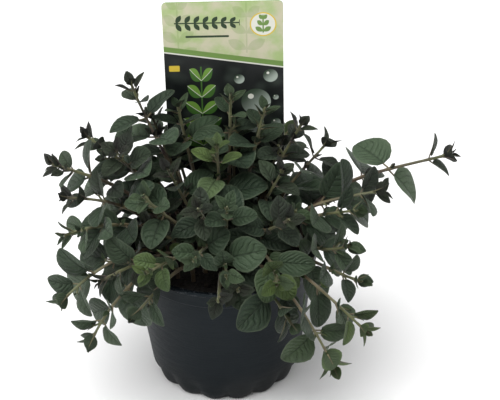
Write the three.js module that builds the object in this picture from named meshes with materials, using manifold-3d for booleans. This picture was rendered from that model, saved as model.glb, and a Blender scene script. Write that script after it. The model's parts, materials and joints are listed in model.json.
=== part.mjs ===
// A bushy mint plant in a 12 cm nursery pot, with its printed plant label standing behind the leaves.
// Millimetres, +Z up. The origin is the centre of the pot's foot on the table, and -Y is the front.
// Every leafy stem is one solid: a square stem, as mint has, with its opposite pairs of leaves fused on.
import * as THREE from "three";
import { mergeVertices } from "three/addons/utils/BufferGeometryUtils.js";
import Module from "manifold-3d";

const wasm = await Module();
wasm.setup();

// ---------------------------------------------------------------- driving dimensions
const gap = 0.3; // clearance between separate pieces

const pot = {
  height: 93,
  rimRadius: 60, // outside of the rolled lip
  lipHeight: 2.2,
  collarRadius: 58.2,
  collarHeight: 11,
  wallTopRadius: 57.2, // just under the collar's step
  wallFootRadius: 46.4, // the taper carried down to the table
  footRadius: 43.4,
  footCorner: 9, // height over which the wall rounds in to the foot
  wall: 1.2,
  floor: 1.6,
  scallops: 16,
  scallopDepth: 3.2,
  scallopHeight: 15, // how far the flutes run up the wall
  drainSlots: 6,
  drainInner: 28,
  drainOuter: 36,
  drainWidth: 5,
};

const soil = {
  top: 84,
  rippleHeight: 1.1,
  holeDepth: 12,
};

const label = {
  width: 72,
  top: 237.5,
  cardBottom: 128,
  stakeWidth: 20,
  shoulder: 16, // height of the slanted shoulders between card and stake
  bottom: 38,
  thickness: 0.7,
  corner: 3,
  point: 14, // height of the stake's pointed end, and half of its width there
  pointHalf: 2.5,
  centreX: 3.2,
  centreY: 36,
};

const stem = {
  baseHalf: 1.3, // half of the square section's side in the soil and at the tip
  tipHalf: 0.75,
  ringEvery: 20,
  nodeHalf: 0.7, // half of the height over which a leaf pair joins
  nearestRoot: 6, // how far from the pot's axis a stem comes up, and how much further per reach
  rootSpread: 0.3,
  rise: 0.42, // how far it rises upright, and how far its tip runs straight, as shares of its span
  run: 0.4,
  besideLabel: 12, // a tip this far past the label's edge is beside it
  behindLabel: 3, // one from this far before the card or further back has its root behind the card
  rootBehind: 5,
  rootSway: 0.8, // how far a root moves along with its stem's sway
};

// One row per leaf pair, counted from the tip: distance from the tip, leaf length, opening angle from the
// stem in degrees, and width as a share of length.
const leafPairs = [
  { fromTip: 6, length: 12, opening: 38, width: 0.52 },
  { fromTip: 14, length: 17, opening: 52, width: 0.58 },
  { fromTip: 25, length: 23, opening: 62, width: 0.64 },
  { fromTip: 39, length: 29, opening: 70, width: 0.68 },
  { fromTip: 56, length: 34, opening: 77, width: 0.7 },
  { fromTip: 76, length: 36, opening: 82, width: 0.7 },
  { fromTip: 98, length: 36, opening: 85, width: 0.7 },
];
const leafFreeEnd = 10; // the lowest pair stays this far from the soil

// The leaves part over the front left of the rim: a slanted space between a left and a right side, and from a
// front to a back side that are given at the rim's height and slide forward by the slope as they rise.
const parting = { left: -28, right: -2, front: -64, back: -34, slope: 1.5, top: 125 };

const leaf = {
  thickness: 0.7,
  petiole: 0.15, // share of the whole length
  petioleWidth: 1.3,
  fold: 0.28, // how far the margins stand above the midrib, per half width
  wave: 0.12, // how far one margin rises where the other dips, per half width
  curl: 0.2, // how far the tip droops, as a share of length
  droop: 0.25, // how much lower a petiole points than it left the stem
  ripples: 7, // how fast the wave goes round along a blade, in radians
  light: 0.72, // how strongly a blade turns its face to the light
  sideLight: 0.004, // how far the light leans to a leaf's side per millimetre, and to the front
  frontLight: 0.35,
  lowest: -0.45, // how steeply a petiole may point down, and up
  highest: 0.75,
  leastLeaving: 0.3, // cosine of the widest angle between a petiole and the stem's side it grows from
};

// The lone leaf near the end of the long stem: how far it leans back, and how far its face turns forward.
const loneLeaf = { pair: 3, side: 0, lean: 42, frontLight: 1.6 };

// The leafy stems that give the plant its outline, each by where its tip is: bearing round the pot in
// degrees (0 is right, 90 is back), reach from the pot's axis, height, and pitch of the tip above level.
const placedStems = [
  { name: "stem_upper_left", bearing: 160, reach: 56, height: 194, pitch: 72, turn: 20 },
  { name: "stem_left_round", bearing: 173, reach: 82, height: 163, pitch: 38, turn: 40 },
  { name: "stem_left_long", bearing: 186, reach: 101, height: 156, pitch: 24, turn: 0 },
  { name: "stem_left_low", bearing: 194, reach: 96, height: 140, pitch: 10, turn: 60 },
  { name: "stem_left_spread", bearing: 203, reach: 101, height: 124, pitch: -8, turn: 20 },
  { name: "stem_left_hanging", bearing: 213, reach: 113, height: 92, pitch: -38, turn: 0, vigour: 1.1 },
  { name: "stem_left_lowest", bearing: 225, reach: 110, height: 74, pitch: -58, turn: 0, vigour: 1.1 },
  { name: "stem_left_under", bearing: 219, reach: 94, height: 104, pitch: -20, turn: 50 },
  { name: "stem_left_curtain", bearing: 234, reach: 88, height: 88, pitch: -36, turn: 15, vigour: 1.15 },
  { name: "stem_front_left", bearing: 238, reach: 84, height: 118, pitch: 8, turn: 30 },
  { name: "stem_inner_left", bearing: 222, reach: 60, height: 152, pitch: 62, turn: 70 },
  { name: "stem_top_left", bearing: 146, reach: 50, height: 165, pitch: 70, turn: 10 },
  { name: "stem_top_centre_left", bearing: 140, reach: 33, height: 177, pitch: 80, turn: 50 },
  { name: "stem_top_centre", bearing: 70, reach: 20, height: 184, pitch: 84, turn: 30 },
  { name: "stem_centre", bearing: 262, reach: 12, height: 168, pitch: 80, turn: 80 },
  { name: "stem_top_centre_right", bearing: 36, reach: 34, height: 174, pitch: 72, turn: 40 },
  { name: "stem_top_right", bearing: 22, reach: 54, height: 163, pitch: 58, turn: 0 },
  { name: "stem_right_bud", bearing: 14, reach: 68, height: 152, pitch: 50, turn: 60 },
  { name: "stem_right_long", bearing: 3, reach: 140, height: 146, pitch: 14, turn: 90, skip: [2], leansBack: loneLeaf },
  { name: "stem_right_dark", bearing: -7, reach: 98, height: 133, pitch: 14, turn: 20 },
  { name: "stem_right_mid", bearing: -19, reach: 86, height: 130, pitch: 18, turn: 50 },
  { name: "stem_right_upright", bearing: -30, reach: 88, height: 117, pitch: 48, turn: 10 },
  { name: "stem_right_low", bearing: -38, reach: 104, height: 104, pitch: 10, turn: 30 },
  { name: "stem_right_hanging", bearing: -45, reach: 118, height: 82, pitch: -30, turn: 0 },
  { name: "stem_right_lowest", bearing: -55, reach: 112, height: 62, pitch: -66, turn: 70 },
  { name: "stem_right_curtain", bearing: -63, reach: 90, height: 84, pitch: -40, turn: 35, vigour: 1.15 },
  { name: "stem_front_right", bearing: -68, reach: 84, height: 112, pitch: -2, turn: 40 },
  { name: "stem_front", bearing: -88, reach: 74, height: 116, pitch: 4, turn: 20 },
  { name: "stem_front_middle", bearing: -104, reach: 68, height: 122, pitch: 12, turn: 60 },
  { name: "stem_inner_front", bearing: 254, reach: 48, height: 146, pitch: 55, turn: 0 },
  { name: "stem_inner_right", bearing: -50, reach: 62, height: 138, pitch: 48, turn: 30 },
];

// The leafy stems that fill the plant between them and round its back, spread by the golden angle from one
// bearing over a sweep: a dome that is high in the middle and falls with the square of the reach.
const filling = [
  { name: "stem_back", count: 5, from: 34, sweep: 120, reach: [74, 88], middle: 172, fall: 0.006, pitch: 10 },
  { name: "stem_dome", count: 10, from: 0, sweep: 360, reach: [20, 58], middle: 166, fall: 0.011, pitch: 62 },
  { name: "stem_rim", count: 4, from: 150, sweep: 250, reach: [62, 80], middle: 146, fall: 0.007, pitch: 10 },
];

// Where a blade of over this length has its rows of points, as shares of the way from its foot to its tip.
const bladeRows = [
  [30, [0, 0.22, 0.58, 0.86]],
  [19, [0, 0.3, 0.68]],
  [0, [0, 0.5]],
];
const lastRibbed = 0.8; // rows from here on have no point on the midrib

// Stems and leaves share out the space in small cells, so that none grows through another.
const cell = 1.2;
const clear = {
  stem: 0.8, // how far past its own surface a stem claims
  blade: 0.65, // half of the space that a blade claims across its thickness
  sampleEvery: 0.9, // how close together a blade is tried against the space
  petiole: 2, // the first stretch of a leaf, which may lie against its stem, then beside it
  beside: 3,
  near: 7,
  ownStem: 1.9, // least distance from the middle of its stem to a blade past its petiole
  pot: 1.5,
  label: 1.5,
  soil: 3,
  table: 3,
};
const potInside = 54; // radius within which stems and leaves stay clear of the pot's wall
const pathSteps = 60;
const sways = [0, 5, -5, 10, -10, 16, -16, 24, -24, 34, -34, 48, -48, 64, -64];
const rootShifts = [0, -4, 4, 8];
const goldenShare = 0.381966;
const seed = 20418;

// ---------------------------------------------------------------- small vector helpers
const radians = (degrees) => (degrees * Math.PI) / 180;
const vector = (x, y, z) => new THREE.Vector3(x, y, z);
const around = (radius, angle, z) => vector(radius * Math.cos(angle), radius * Math.sin(angle), z);
const up = vector(0, 0, 1);

// Seeded draws: each is the last one times a fixed factor, less the whole turns of a large prime.
const drawFactor = 16807;
const drawPrime = 2147483647;
let drawn = seed;
function draw() {
  drawn = (drawn * drawFactor) % drawPrime;
  return drawn / drawPrime;
}
const between = (low, high) => low + (high - low) * draw();

// ---------------------------------------------------------------- solids
function solidOf(geometry) {
  const bare = geometry.clone();
  bare.deleteAttribute("normal");
  bare.deleteAttribute("uv");
  const merged = mergeVertices(bare, 1e-4);
  const mesh = new wasm.Mesh({
    numProp: 3,
    vertProperties: new Float32Array(merged.attributes.position.array),
    triVerts: new Uint32Array(merged.index.array),
  });
  return new wasm.Manifold(mesh);
}

function geometryOf(solid) {
  const mesh = solid.getMesh();
  const geometry = new THREE.BufferGeometry();
  geometry.setAttribute("position", new THREE.BufferAttribute(mesh.vertProperties, 3));
  geometry.setIndex(new THREE.BufferAttribute(mesh.triVerts, 1));
  return geometry;
}

function geometryFrom(points, triangles) {
  const geometry = new THREE.BufferGeometry().setFromPoints(points);
  geometry.setIndex(triangles);
  return geometry;
}

// A skin over rings of points that all have the same number of sides, closed by a fan at both ends.
function ringSkin(rings) {
  const sides = rings[0].length;
  const triangles = [];
  for (let i = 0; i + 1 < rings.length; i += 1) {
    for (let j = 0; j < sides; j += 1) {
      const a = i * sides + j;
      const b = i * sides + ((j + 1) % sides);
      triangles.push(a, b, b + sides, a, b + sides, a + sides);
    }
  }
  const last = (rings.length - 1) * sides;
  for (let j = 1; j + 1 < sides; j += 1) {
    triangles.push(0, j + 1, j, last, last + j, last + j + 1);
  }
  return geometryFrom(rings.flat(), triangles);
}

// ---------------------------------------------------------------- the pot
const wallRadius = (z) =>
  pot.wallFootRadius + ((pot.wallTopRadius - pot.wallFootRadius) * z) / (pot.height - pot.collarHeight);

// The wall's outside below the collar: a straight taper that rounds in over the last few millimetres.
function outsideRadius(z) {
  if (z >= pot.footCorner) return wallRadius(z);
  const t = 1 - z / pot.footCorner;
  return wallRadius(z) - (wallRadius(0) - pot.footRadius) * (1 - Math.sqrt(1 - t * t));
}

// Lobes with sharp flutes between them, deepest at the foot and gone above the scallop height.
function scallop(angle, z) {
  if (z >= pot.scallopHeight) return 0;
  const lobe = Math.abs(Math.sin((pot.scallops * angle) / 2));
  const fade = 1 - z / pot.scallopHeight;
  return -pot.scallopDepth * fade * (1 - lobe);
}

function potGeometry() {
  const h = pot.height;
  const step = h - pot.collarHeight;
  const w = pot.wall;
  const outside = [0, 2.5, 7, pot.scallopHeight, step - 1].map((z) => [outsideRadius(z), z]);
  const profile = [
    ...outside,
    [pot.collarRadius - 0.4, step],
    [pot.collarRadius, h - pot.lipHeight],
    [pot.rimRadius, h - pot.lipHeight],
    [pot.rimRadius - 0.3, h],
    [pot.collarRadius - w, h],
    [pot.collarRadius - w - 0.4, step],
    [wallRadius(pot.scallopHeight) - w, pot.scallopHeight],
    [outsideRadius(4) - w, 4],
    [outsideRadius(pot.floor) - w - 1, pot.floor],
  ];
  const sides = pot.scallops * 3;
  const rings = profile.map(([r, z]) =>
    Array.from({ length: sides }, (_, j) => {
      const angle = (2 * Math.PI * j) / sides;
      return around(r + scallop(angle, z), angle, z);
    }),
  );
  let drained = solidOf(ringSkin(rings));
  const slotLength = pot.drainOuter - pot.drainInner;
  const slot = new THREE.BoxGeometry(slotLength, pot.drainWidth, 4 * pot.floor);
  slot.translate(pot.drainInner + slotLength / 2, 0, 0);
  for (let k = 0; k < pot.drainSlots; k += 1) {
    const turn = (2 * Math.PI * (k + 0.5)) / pot.drainSlots;
    drained = drained.subtract(solidOf(slot.clone().rotateZ(turn)));
  }
  return geometryOf(drained);
}

// ---------------------------------------------------------------- the label
function labelOutline() {
  const half = label.width / 2;
  const stake = label.stakeWidth / 2;
  const neck = label.cardBottom - label.shoulder;
  const c = label.corner;
  const shape = new THREE.Shape();
  shape.moveTo(-label.pointHalf, label.bottom);
  shape.lineTo(label.pointHalf, label.bottom);
  shape.lineTo(stake, label.bottom + label.point);
  shape.lineTo(stake, neck);
  shape.lineTo(half, label.cardBottom);
  shape.lineTo(half, label.top - c);
  shape.absarc(half - c, label.top - c, c, 0, Math.PI / 2, false);
  shape.absarc(c - half, label.top - c, c, Math.PI / 2, Math.PI, false);
  shape.lineTo(-half, label.cardBottom);
  shape.lineTo(-stake, neck);
  shape.lineTo(-stake, label.bottom + label.point);
  shape.closePath();
  return shape;
}

function labelGeometry() {
  const card = new THREE.ExtrudeGeometry(labelOutline(), {
    depth: label.thickness,
    bevelEnabled: false,
    curveSegments: 4,
  });
  card.rotateX(Math.PI / 2);
  return card.translate(label.centreX, label.centreY + label.thickness / 2, 0);
}

// ---------------------------------------------------------------- the paths of the stems
// A stem stands upright in the soil, then follows one Bezier arc to its tip. To miss another, one that
// fills the plant turns to another bearing, and a placed one sways to one side on its way.
function stemPath(row, shift, rootShift) {
  const sway = row.filling ? 0 : shift;
  const bearing = radians(row.bearing + (row.filling ? shift : 0));
  const outward = around(1, bearing, 0);
  const aside = vector(-outward.y, outward.x, 0);
  const tip = around(row.reach, bearing, row.height);
  const besideLabel = Math.abs(tip.x - label.centreX) > label.width / 2 + stem.besideLabel;
  const behindLabel = !besideLabel && tip.y > label.centreY - stem.behindLabel;
  const freeReach = stem.nearestRoot + stem.rootSpread * row.reach;
  const rootReach = behindLabel ? (label.centreY + stem.rootBehind) / outward.y : freeReach;
  const root = around(rootReach + rootShift, bearing, soil.top + 2 * soil.rippleHeight);
  root.addScaledVector(aside, stem.rootSway * sway);
  const span = root.distanceTo(tip);
  const heading = around(Math.cos(radians(row.pitch)), bearing, Math.sin(radians(row.pitch)));
  const rise = root.clone().addScaledVector(up, stem.rise * span);
  const reachIn = tip.clone().addScaledVector(heading, -stem.run * span).addScaledVector(aside, sway);
  return new THREE.CubicBezierCurve3(root, rise, reachIn, tip);
}

const stemRows = [...placedStems];
for (const group of filling) {
  for (let i = 0; i < group.count; i += 1) {
    const share = (i + 0.5) / group.count;
    const reach = THREE.MathUtils.lerp(...group.reach, Math.sqrt(share));
    stemRows.push({
      name: `${group.name}_${i + 1}`,
      bearing: group.from + group.sweep * (((i + 0.5) * goldenShare) % 1),
      reach,
      height: group.middle - group.fall * reach * reach + between(-7, 7),
      pitch: group.pitch + between(-14, 14),
      turn: between(0, 90),
      filling: true,
    });
  }
}

// Square to the path all the way up, so that leaves grow from the flat sides of the square stem.
function carriedFrames(path, turn) {
  const frames = [];
  let across = vector(1, 0, 0).applyAxisAngle(up, radians(turn));
  for (let i = 0; i <= pathSteps; i += 1) {
    const along = path.getTangent(i / pathSteps);
    across = across.clone().addScaledVector(along, -across.dot(along)).normalize();
    frames.push({ along, across, over: along.clone().cross(across) });
  }
  return frames;
}

const halfWidthAt = (t) => THREE.MathUtils.lerp(stem.baseHalf, stem.tipHalf, t);

// ---------------------------------------------------------------- the space that each piece claims
const owner = new Map();
const cellKey = (p) => [p.x, p.y, p.z].reduce((key, at) => key * 1000 + Math.floor(at / cell) + 500, 0);

const outFrom = (p) => Math.hypot(p.x, p.y);
const inSoil = (p) => outFrom(p) <= potInside && p.z < soil.top + clear.soil;

function inPotWall(p) {
  return outFrom(p) > potInside && outFrom(p) < pot.rimRadius + clear.pot && p.z < pot.height + clear.pot;
}

function inLabel(p) {
  const half = p.z > label.cardBottom - label.shoulder ? label.width / 2 : label.stakeWidth / 2;
  const beside = Math.abs(p.x - label.centreX) > half + clear.label;
  return !beside && Math.abs(p.y - label.centreY) < clear.label && p.z < label.top + clear.label;
}

function claimPath(points, id) {
  const keys = new Set();
  for (const [i, at] of points.entries()) {
    const reach = halfWidthAt(i / pathSteps) + clear.stem;
    for (const x of [-reach, 0, reach]) {
      for (const y of [-reach, 0, reach]) {
        for (const z of [-reach, 0, reach]) {
          const point = vector(at.x + x, at.y + y, at.z + z);
          const key = cellKey(point);
          if (owner.has(key) || inPotWall(point) || inLabel(point)) return false;
          keys.add(key);
        }
      }
    }
  }
  for (const key of keys) owner.set(key, id);
  return true;
}

// Each stem is moved until it is clear of the ones before it; one that finds no room isn't grown. The tips of
// those that fill the plant stay out of the parting too.
const stems = [];
const places = sways.flatMap((shift) => rootShifts.map((rootShift) => [shift, rootShift]));
for (const row of stemRows) {
  for (const [shift, rootShift] of places) {
    const path = stemPath(row, shift, rootShift);
    const points = path.getPoints(pathSteps);
    if (row.filling && inParting(points.at(-1))) continue;
    if (!claimPath(points, stems.length + 1)) continue;
    const fromTip = [0];
    for (let i = pathSteps; i > 0; i -= 1) {
      fromTip.push(fromTip.at(-1) + points[i].distanceTo(points[i - 1]));
    }
    stems.push({
      id: stems.length + 1,
      name: row.name,
      path,
      points,
      frames: carriedFrames(path, row.turn),
      turn: row.turn,
      fromTip,
      length: fromTip.at(-1),
      vigour: (row.vigour ?? 1) * between(0.92, 1.1),
      skip: row.skip ?? [],
      leansBack: row.leansBack,
      leaves: [],
    });
    break;
  }
}

// The path's parameter at a distance from the tip.
function parameterAt(one, distance) {
  let i = 1;
  while (i < pathSteps && one.fromTip[i] < distance) i += 1;
  const part = (distance - one.fromTip[i - 1]) / (one.fromTip[i] - one.fromTip[i - 1]);
  return 1 - (i - 1 + part) / pathSteps;
}

// ---------------------------------------------------------------- leaves
// How wide a blade is, as a share of its full half width, from its base (0) to its tip (1).
const bladeShape = (u) => Math.sin(Math.PI * Math.max(0, Math.min(1, u)) ** 0.72) ** 0.8;

// The light comes from above and the front, and more from the side that a leaf is on.
const lightFrom = (p, front) => vector(p.x * leaf.sideLight, p.y * leaf.sideLight - front, 1);

// Where a leaf stands: it opens from the stem, droops, and turns its face to the light.
function leafFrame(one, pair, side, turn, lift, scale) {
  const t = parameterAt(one, pair.fromTip);
  const { along, across, over } = one.frames[Math.round(t * pathSteps)];
  const outAt = (angle) =>
    across.clone().multiplyScalar(Math.cos(angle)).addScaledVector(over, Math.sin(angle));
  const flat = radians((pair.index % 2) * 90 + side * 180);
  const root = one.path.getPoint(t).addScaledVector(outAt(flat), halfWidthAt(t));
  const outward = outAt(flat + radians(turn));
  const leans = one.leansBack?.pair === pair.index && one.leansBack.side === side;
  const opening = radians(pair.opening + lift + (leans ? one.leansBack.lean : 0));
  const size = pair.length / leafPairs.at(-1).length;
  const ahead = outward.multiplyScalar(Math.sin(opening)).addScaledVector(along, Math.cos(opening));
  const pointing = THREE.MathUtils.clamp(ahead.z - leaf.droop * size, leaf.lowest, leaf.highest);
  ahead.setZ(pointing).normalize();
  const facing = along.clone().addScaledVector(ahead, -along.dot(ahead)).normalize();
  const light = lightFrom(root, leans ? one.leansBack.frontLight : leaf.frontLight);
  facing.multiplyScalar(1 - leaf.light * size).addScaledVector(light, leaf.light * size);
  facing.addScaledVector(ahead, -facing.dot(ahead)).normalize();
  const length = pair.length * one.vigour * scale;
  return {
    pair: pair.index,
    side,
    leaving: ahead.dot(outAt(flat)),
    root,
    ahead,
    facing,
    sideways: ahead.clone().cross(facing),
    length,
    halfWidth: (length * pair.width) / 2,
    curl: leaf.curl * pair.curl,
    wave: leaf.wave * pair.wave,
  };
}

// A point of the blade's middle surface: s runs from root to tip, t from edge to edge.
function leafPoint(frame, s, t, halfWidth) {
  const point = frame.root.clone().addScaledVector(frame.ahead, frame.length * s);
  point.addScaledVector(frame.sideways, halfWidth * t);
  const rise = (leaf.fold * Math.abs(t) + frame.wave * t * Math.sin(leaf.ripples * s)) * halfWidth;
  return point.addScaledVector(frame.facing, rise - frame.curl * frame.length * s * s);
}

function leafHalfWidth(frame, s) {
  const u = (s - leaf.petiole) / (1 - leaf.petiole);
  return Math.max(leaf.petioleWidth / 2, frame.halfWidth * (u > 0 ? bladeShape(u) : 0));
}

// Whether a point is in the space that leaves keep free over the rim.
function inParting(p) {
  const slid = p.y + (p.z - pot.height) * parting.slope;
  const beside = p.x < parting.left || p.x > parting.right;
  return !beside && p.z < parting.top && slid > parting.front && slid < parting.back;
}

const clearOfStem = (point, one) => one.points.every((at) => at.distanceTo(point) > clear.ownStem);
const clearOfHolder = (point) =>
  point.z > clear.table && !inSoil(point) && !inPotWall(point) && !inLabel(point) && !inParting(point);

// The cells that a blade claims, apart from its first few millimetres at the stem; null if one is taken.
function claimLeaf(frame, one) {
  const keys = new Set();
  const alongSteps = Math.ceil(frame.length / clear.sampleEvery);
  const acrossSteps = Math.ceil(frame.halfWidth / clear.sampleEvery);
  for (let i = 0; i <= alongSteps; i += 1) {
    const s = i / alongSteps;
    const out = s * frame.length;
    if (out < clear.petiole) continue;
    const half = leafHalfWidth(frame, s);
    for (let j = -acrossSteps; j <= acrossSteps; j += 1) {
      const middle = leafPoint(frame, s, j / acrossSteps, half);
      for (const level of [-clear.blade, 0, clear.blade]) {
        const point = middle.clone().addScaledVector(frame.facing, level);
        if (!clearOfHolder(point)) return null;
        const key = cellKey(point);
        const holder = owner.get(key);
        const leaves = out < clear.beside || (out < clear.near && clearOfStem(point, one));
        if (holder !== undefined && !(holder === one.id && leaves)) return null;
        keys.add(key);
      }
    }
  }
  return keys;
}

// A leaf that would cross another piece is turned, lifted or grown smaller until it is clear. What a leaf
// holds has the stem's number with a minus, so that leaves of one stem stay clear of each other too.
const bends = [];
for (const scale of [1, 0.86, 0.72]) {
  for (const lift of [0, -16, 14, -32]) {
    for (const turn of [0, 16, -16, 32, -32]) bends.push({ turn, lift, scale });
  }
}

function growLeaf(one, pair, side) {
  const wander = between(-14, 14);
  const open = between(-8, 8);
  const curl = between(0.4, 1.5);
  const wave = between(-1, 1);
  for (const { turn, lift, scale } of bends) {
    const frame = leafFrame(one, { ...pair, curl, wave }, side, turn + wander, lift + open, scale);
    const keys = frame.leaving > leaf.leastLeaving ? claimLeaf(frame, one) : null;
    if (!keys) continue;
    for (const key of keys) owner.set(key, -one.id);
    one.leaves.push(frame);
    return;
  }
}

leafPairs.forEach((row, index) => {
  for (const one of stems) {
    const pair = { ...row, index };
    if (pair.fromTip > one.length - leafFreeEnd || one.skip.includes(index)) continue;
    growLeaf(one, pair, 0);
    growLeaf(one, pair, 1);
  }
});

// The faceted blade: rows of points from its foot to its tip, alike on both faces, and a wall at the edge.
// It stays open at its foot, where its four corners are handed back for the petiole to join.
function addBlade(points, triangles, frame) {
  const [, shares] = bladeRows.find(([shortest]) => frame.length > shortest);
  const rows = shares.map((u, i) => {
    const s = leaf.petiole + (1 - leaf.petiole) * u;
    const half = leafHalfWidth(frame, s);
    const ribbed = i > 0 && u < lastRibbed;
    return (ribbed ? [-1, 0, 1] : [-1, 1]).map((t) => leafPoint(frame, s, t, half));
  });
  rows.push([leafPoint(frame, 1, 0, 0)]);
  const middle = rows.flat();
  const upper = points.length;
  const lower = upper + middle.length;
  for (const level of [leaf.thickness / 2, -leaf.thickness / 2]) {
    for (const p of middle) points.push(p.clone().addScaledVector(frame.facing, level));
  }
  let start = 0;
  const right = [];
  const left = [];
  for (let i = 0; i < rows.length; i += 1) {
    const next = start + rows[i].length;
    right.push(next - 1);
    left.unshift(start);
    for (const [a, b, c] of zip(start, rows[i].length, next, rows[i + 1]?.length ?? 0)) {
      triangles.push(upper + a, upper + b, upper + c, lower + a, lower + c, lower + b);
    }
    start = next;
  }
  const edge = [...right, ...left.slice(1)];
  for (let i = 0; i + 1 < edge.length; i += 1) {
    const [a, b] = [edge[i], edge[i + 1]];
    triangles.push(upper + b, upper + a, lower + a, upper + b, lower + a, lower + b);
  }
  return [lower + 1, lower, upper, upper + 1];
}

// The triangles between two rows of points, of which either may be the longer one; none past the last row.
function zip(start, count, nextStart, nextCount) {
  const faces = [];
  if (nextCount === 0) return faces;
  let [a, b] = [0, 0];
  while (a + 1 < count || b + 1 < nextCount) {
    if (b + 1 >= nextCount || (a + 1 < count && (a + 1) * nextCount <= (b + 1) * count)) {
      faces.push([start + a, start + a + 1, nextStart + b]);
      a += 1;
    } else {
      faces.push([start + a, nextStart + b + 1, nextStart + b]);
      b += 1;
    }
  }
  return faces;
}

function addWalls(triangles, loop, nextLoop) {
  loop.forEach((a, i) => {
    const j = (i + 1) % loop.length;
    triangles.push(a, loop[j], nextLoop[j], a, nextLoop[j], nextLoop[i]);
  });
}

// The square stem has a pair of rings at every leaf pair. The side between them opens into the petiole,
// which turns the shortest way from the stem's flat side to the foot of its blade.
function leafyStemGeometry(one) {
  const stations = [{ t: 1 }];
  const addPlainStations = (from, to) => {
    for (let d = from + stem.ringEvery; d < to - stem.ringEvery / 3; d += stem.ringEvery) {
      stations.push({ t: parameterAt(one, d) });
    }
  };
  let below = 0;
  for (const [pair, { fromTip }] of leafPairs.entries()) {
    if (!one.leaves.some((frame) => frame.pair === pair)) continue;
    addPlainStations(below, fromTip);
    stations.push({ t: parameterAt(one, fromTip - stem.nodeHalf) });
    stations.push({ t: parameterAt(one, fromTip + stem.nodeHalf), pair });
    below = fromTip;
  }
  addPlainStations(below, one.length);
  stations.push({ t: 0 }, { t: 0, buried: true });
  stations.reverse();

  const points = [];
  const triangles = [];
  const rings = stations.map(({ t, buried }) => {
    const at = one.path.getPoint(t);
    if (buried) at.z = soil.top - soil.holeDepth + gap;
    const { across, over } = one.frames[Math.round(t * pathSteps)];
    const half = halfWidthAt(t);
    const start = points.length;
    for (const [a, b] of [[1, 1], [-1, 1], [-1, -1], [1, -1]]) {
      points.push(at.clone().addScaledVector(across, a * half).addScaledVector(over, b * half));
    }
    return [start, start + 1, start + 2, start + 3];
  });
  triangles.push(0, 2, 1, 0, 3, 2);
  for (let i = 0; i + 1 < rings.length; i += 1) {
    for (let j = 0; j < 4; j += 1) {
      const k = (j + 1) % 4;
      const loop = [rings[i][j], rings[i][k], rings[i + 1][k], rings[i + 1][j]];
      const grown = one.leaves.find((frame) => frame.pair === stations[i].pair && flatSide(frame) === j);
      if (grown) {
        const foot = addBlade(points, triangles, grown);
        addWalls(triangles, loop, nearestTurn(points, loop, foot));
      } else {
        triangles.push(loop[0], loop[1], loop[2], loop[0], loop[2], loop[3]);
      }
    }
  }
  const last = rings.at(-1);
  triangles.push(last[0], last[1], last[2], last[0], last[2], last[3]);
  return geometryFrom(points, triangles);
}

// Which of the stem's four sides a leaf grows from: even pairs across it, odd pairs over it.
const flatSide = (frame) => (frame.pair % 2 === 0 ? [3, 1] : [0, 2])[frame.side];

// The foot's corners, started from the one that leaves the walls to the loop shortest.
function nearestTurn(points, loop, foot) {
  const apart = (turned) =>
    turned.reduce((sum, at, i) => sum + points[at].distanceToSquared(points[loop[i]]), 0);
  const turns = [0, 1, 2, 3].map((k) => [...foot.slice(k), ...foot.slice(0, k)]);
  return turns.reduce((best, turned) => (apart(turned) < apart(best) ? turned : best));
}

// ---------------------------------------------------------------- the soil
function soilGeometry() {
  const reachAt = (z) => wallRadius(z) - pot.wall - gap;
  const low = pot.floor + gap;
  const sides = 24;
  const ripple = (x, y) => soil.rippleHeight * Math.sin(x * 0.21 + 1) * Math.sin(y * 0.17 + 2);
  const ring = (radius, z, wave) =>
    Array.from({ length: sides }, (_, j) => {
      const point = around(radius, (2 * Math.PI * j) / sides, z);
      point.z += wave * ripple(point.x, point.y);
      return point;
    });
  const rings = [
    ring(pot.footRadius - pot.wall - pot.scallopDepth - 1.5, low, 0),
    ring(pot.footRadius - pot.wall - 0.8, pot.scallopHeight, 0),
    ring(reachAt(pot.scallopHeight + 4) - 0.4, pot.scallopHeight + 4, 0),
    ring(reachAt(soil.top - 4), soil.top - 4, 0),
    ring(reachAt(soil.top) - 3, soil.top - 1, 0.6),
    ring(26, soil.top, 1),
  ];
  let bed = solidOf(ringSkin(rings));
  for (const one of stems) {
    const side = 2 * (stem.baseHalf + gap);
    const hole = new THREE.BoxGeometry(side, side, 2 * soil.holeDepth).rotateZ(radians(one.turn));
    const root = one.path.getPoint(0);
    bed = bed.subtract(solidOf(hole.translate(root.x, root.y, soil.top)));
  }
  const slotTop = soil.top + soil.holeDepth;
  const slotDepth = slotTop - label.bottom + gap;
  const slot = new THREE.BoxGeometry(label.stakeWidth + 2 * gap, label.thickness + 2 * gap, slotDepth);
  slot.translate(label.centreX, label.centreY, slotTop - slotDepth / 2);
  return geometryOf(bed.subtract(solidOf(slot)));
}

// ---------------------------------------------------------------- the assembly
const materials = {
  pot: new THREE.MeshStandardMaterial({ color: 0x24282b, roughness: 0.5, metalness: 0 }),
  soil: new THREE.MeshStandardMaterial({ color: 0x2a2019, roughness: 0.95, metalness: 0 }),
  label: new THREE.MeshStandardMaterial({ color: 0xb4c68c, roughness: 0.4, metalness: 0 }),
  foliage: new THREE.MeshStandardMaterial({ color: 0x3f5b3c, roughness: 0.6, metalness: 0 }),
};

const plant = new THREE.Group();
function addPiece(name, geometry, material) {
  const mesh = new THREE.Mesh(geometry, material);
  mesh.name = name;
  plant.add(mesh);
}

addPiece("pot", potGeometry(), materials.pot);
addPiece("soil", soilGeometry(), materials.soil);
addPiece("plant_label", labelGeometry(), materials.label);
for (const one of stems) addPiece(one.name, leafyStemGeometry(one), materials.foliage);

export default plant;
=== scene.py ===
# A bushy mint plant in a 12 cm nursery pot, with a printed plant label standing behind the leaves.
# Pieces are in metres, +Z up, and -Y is the front. Growth is worked out in millimetres first.
import json

import math

import bpy
import numpy as np
from mathutils import Matrix, Vector

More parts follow.
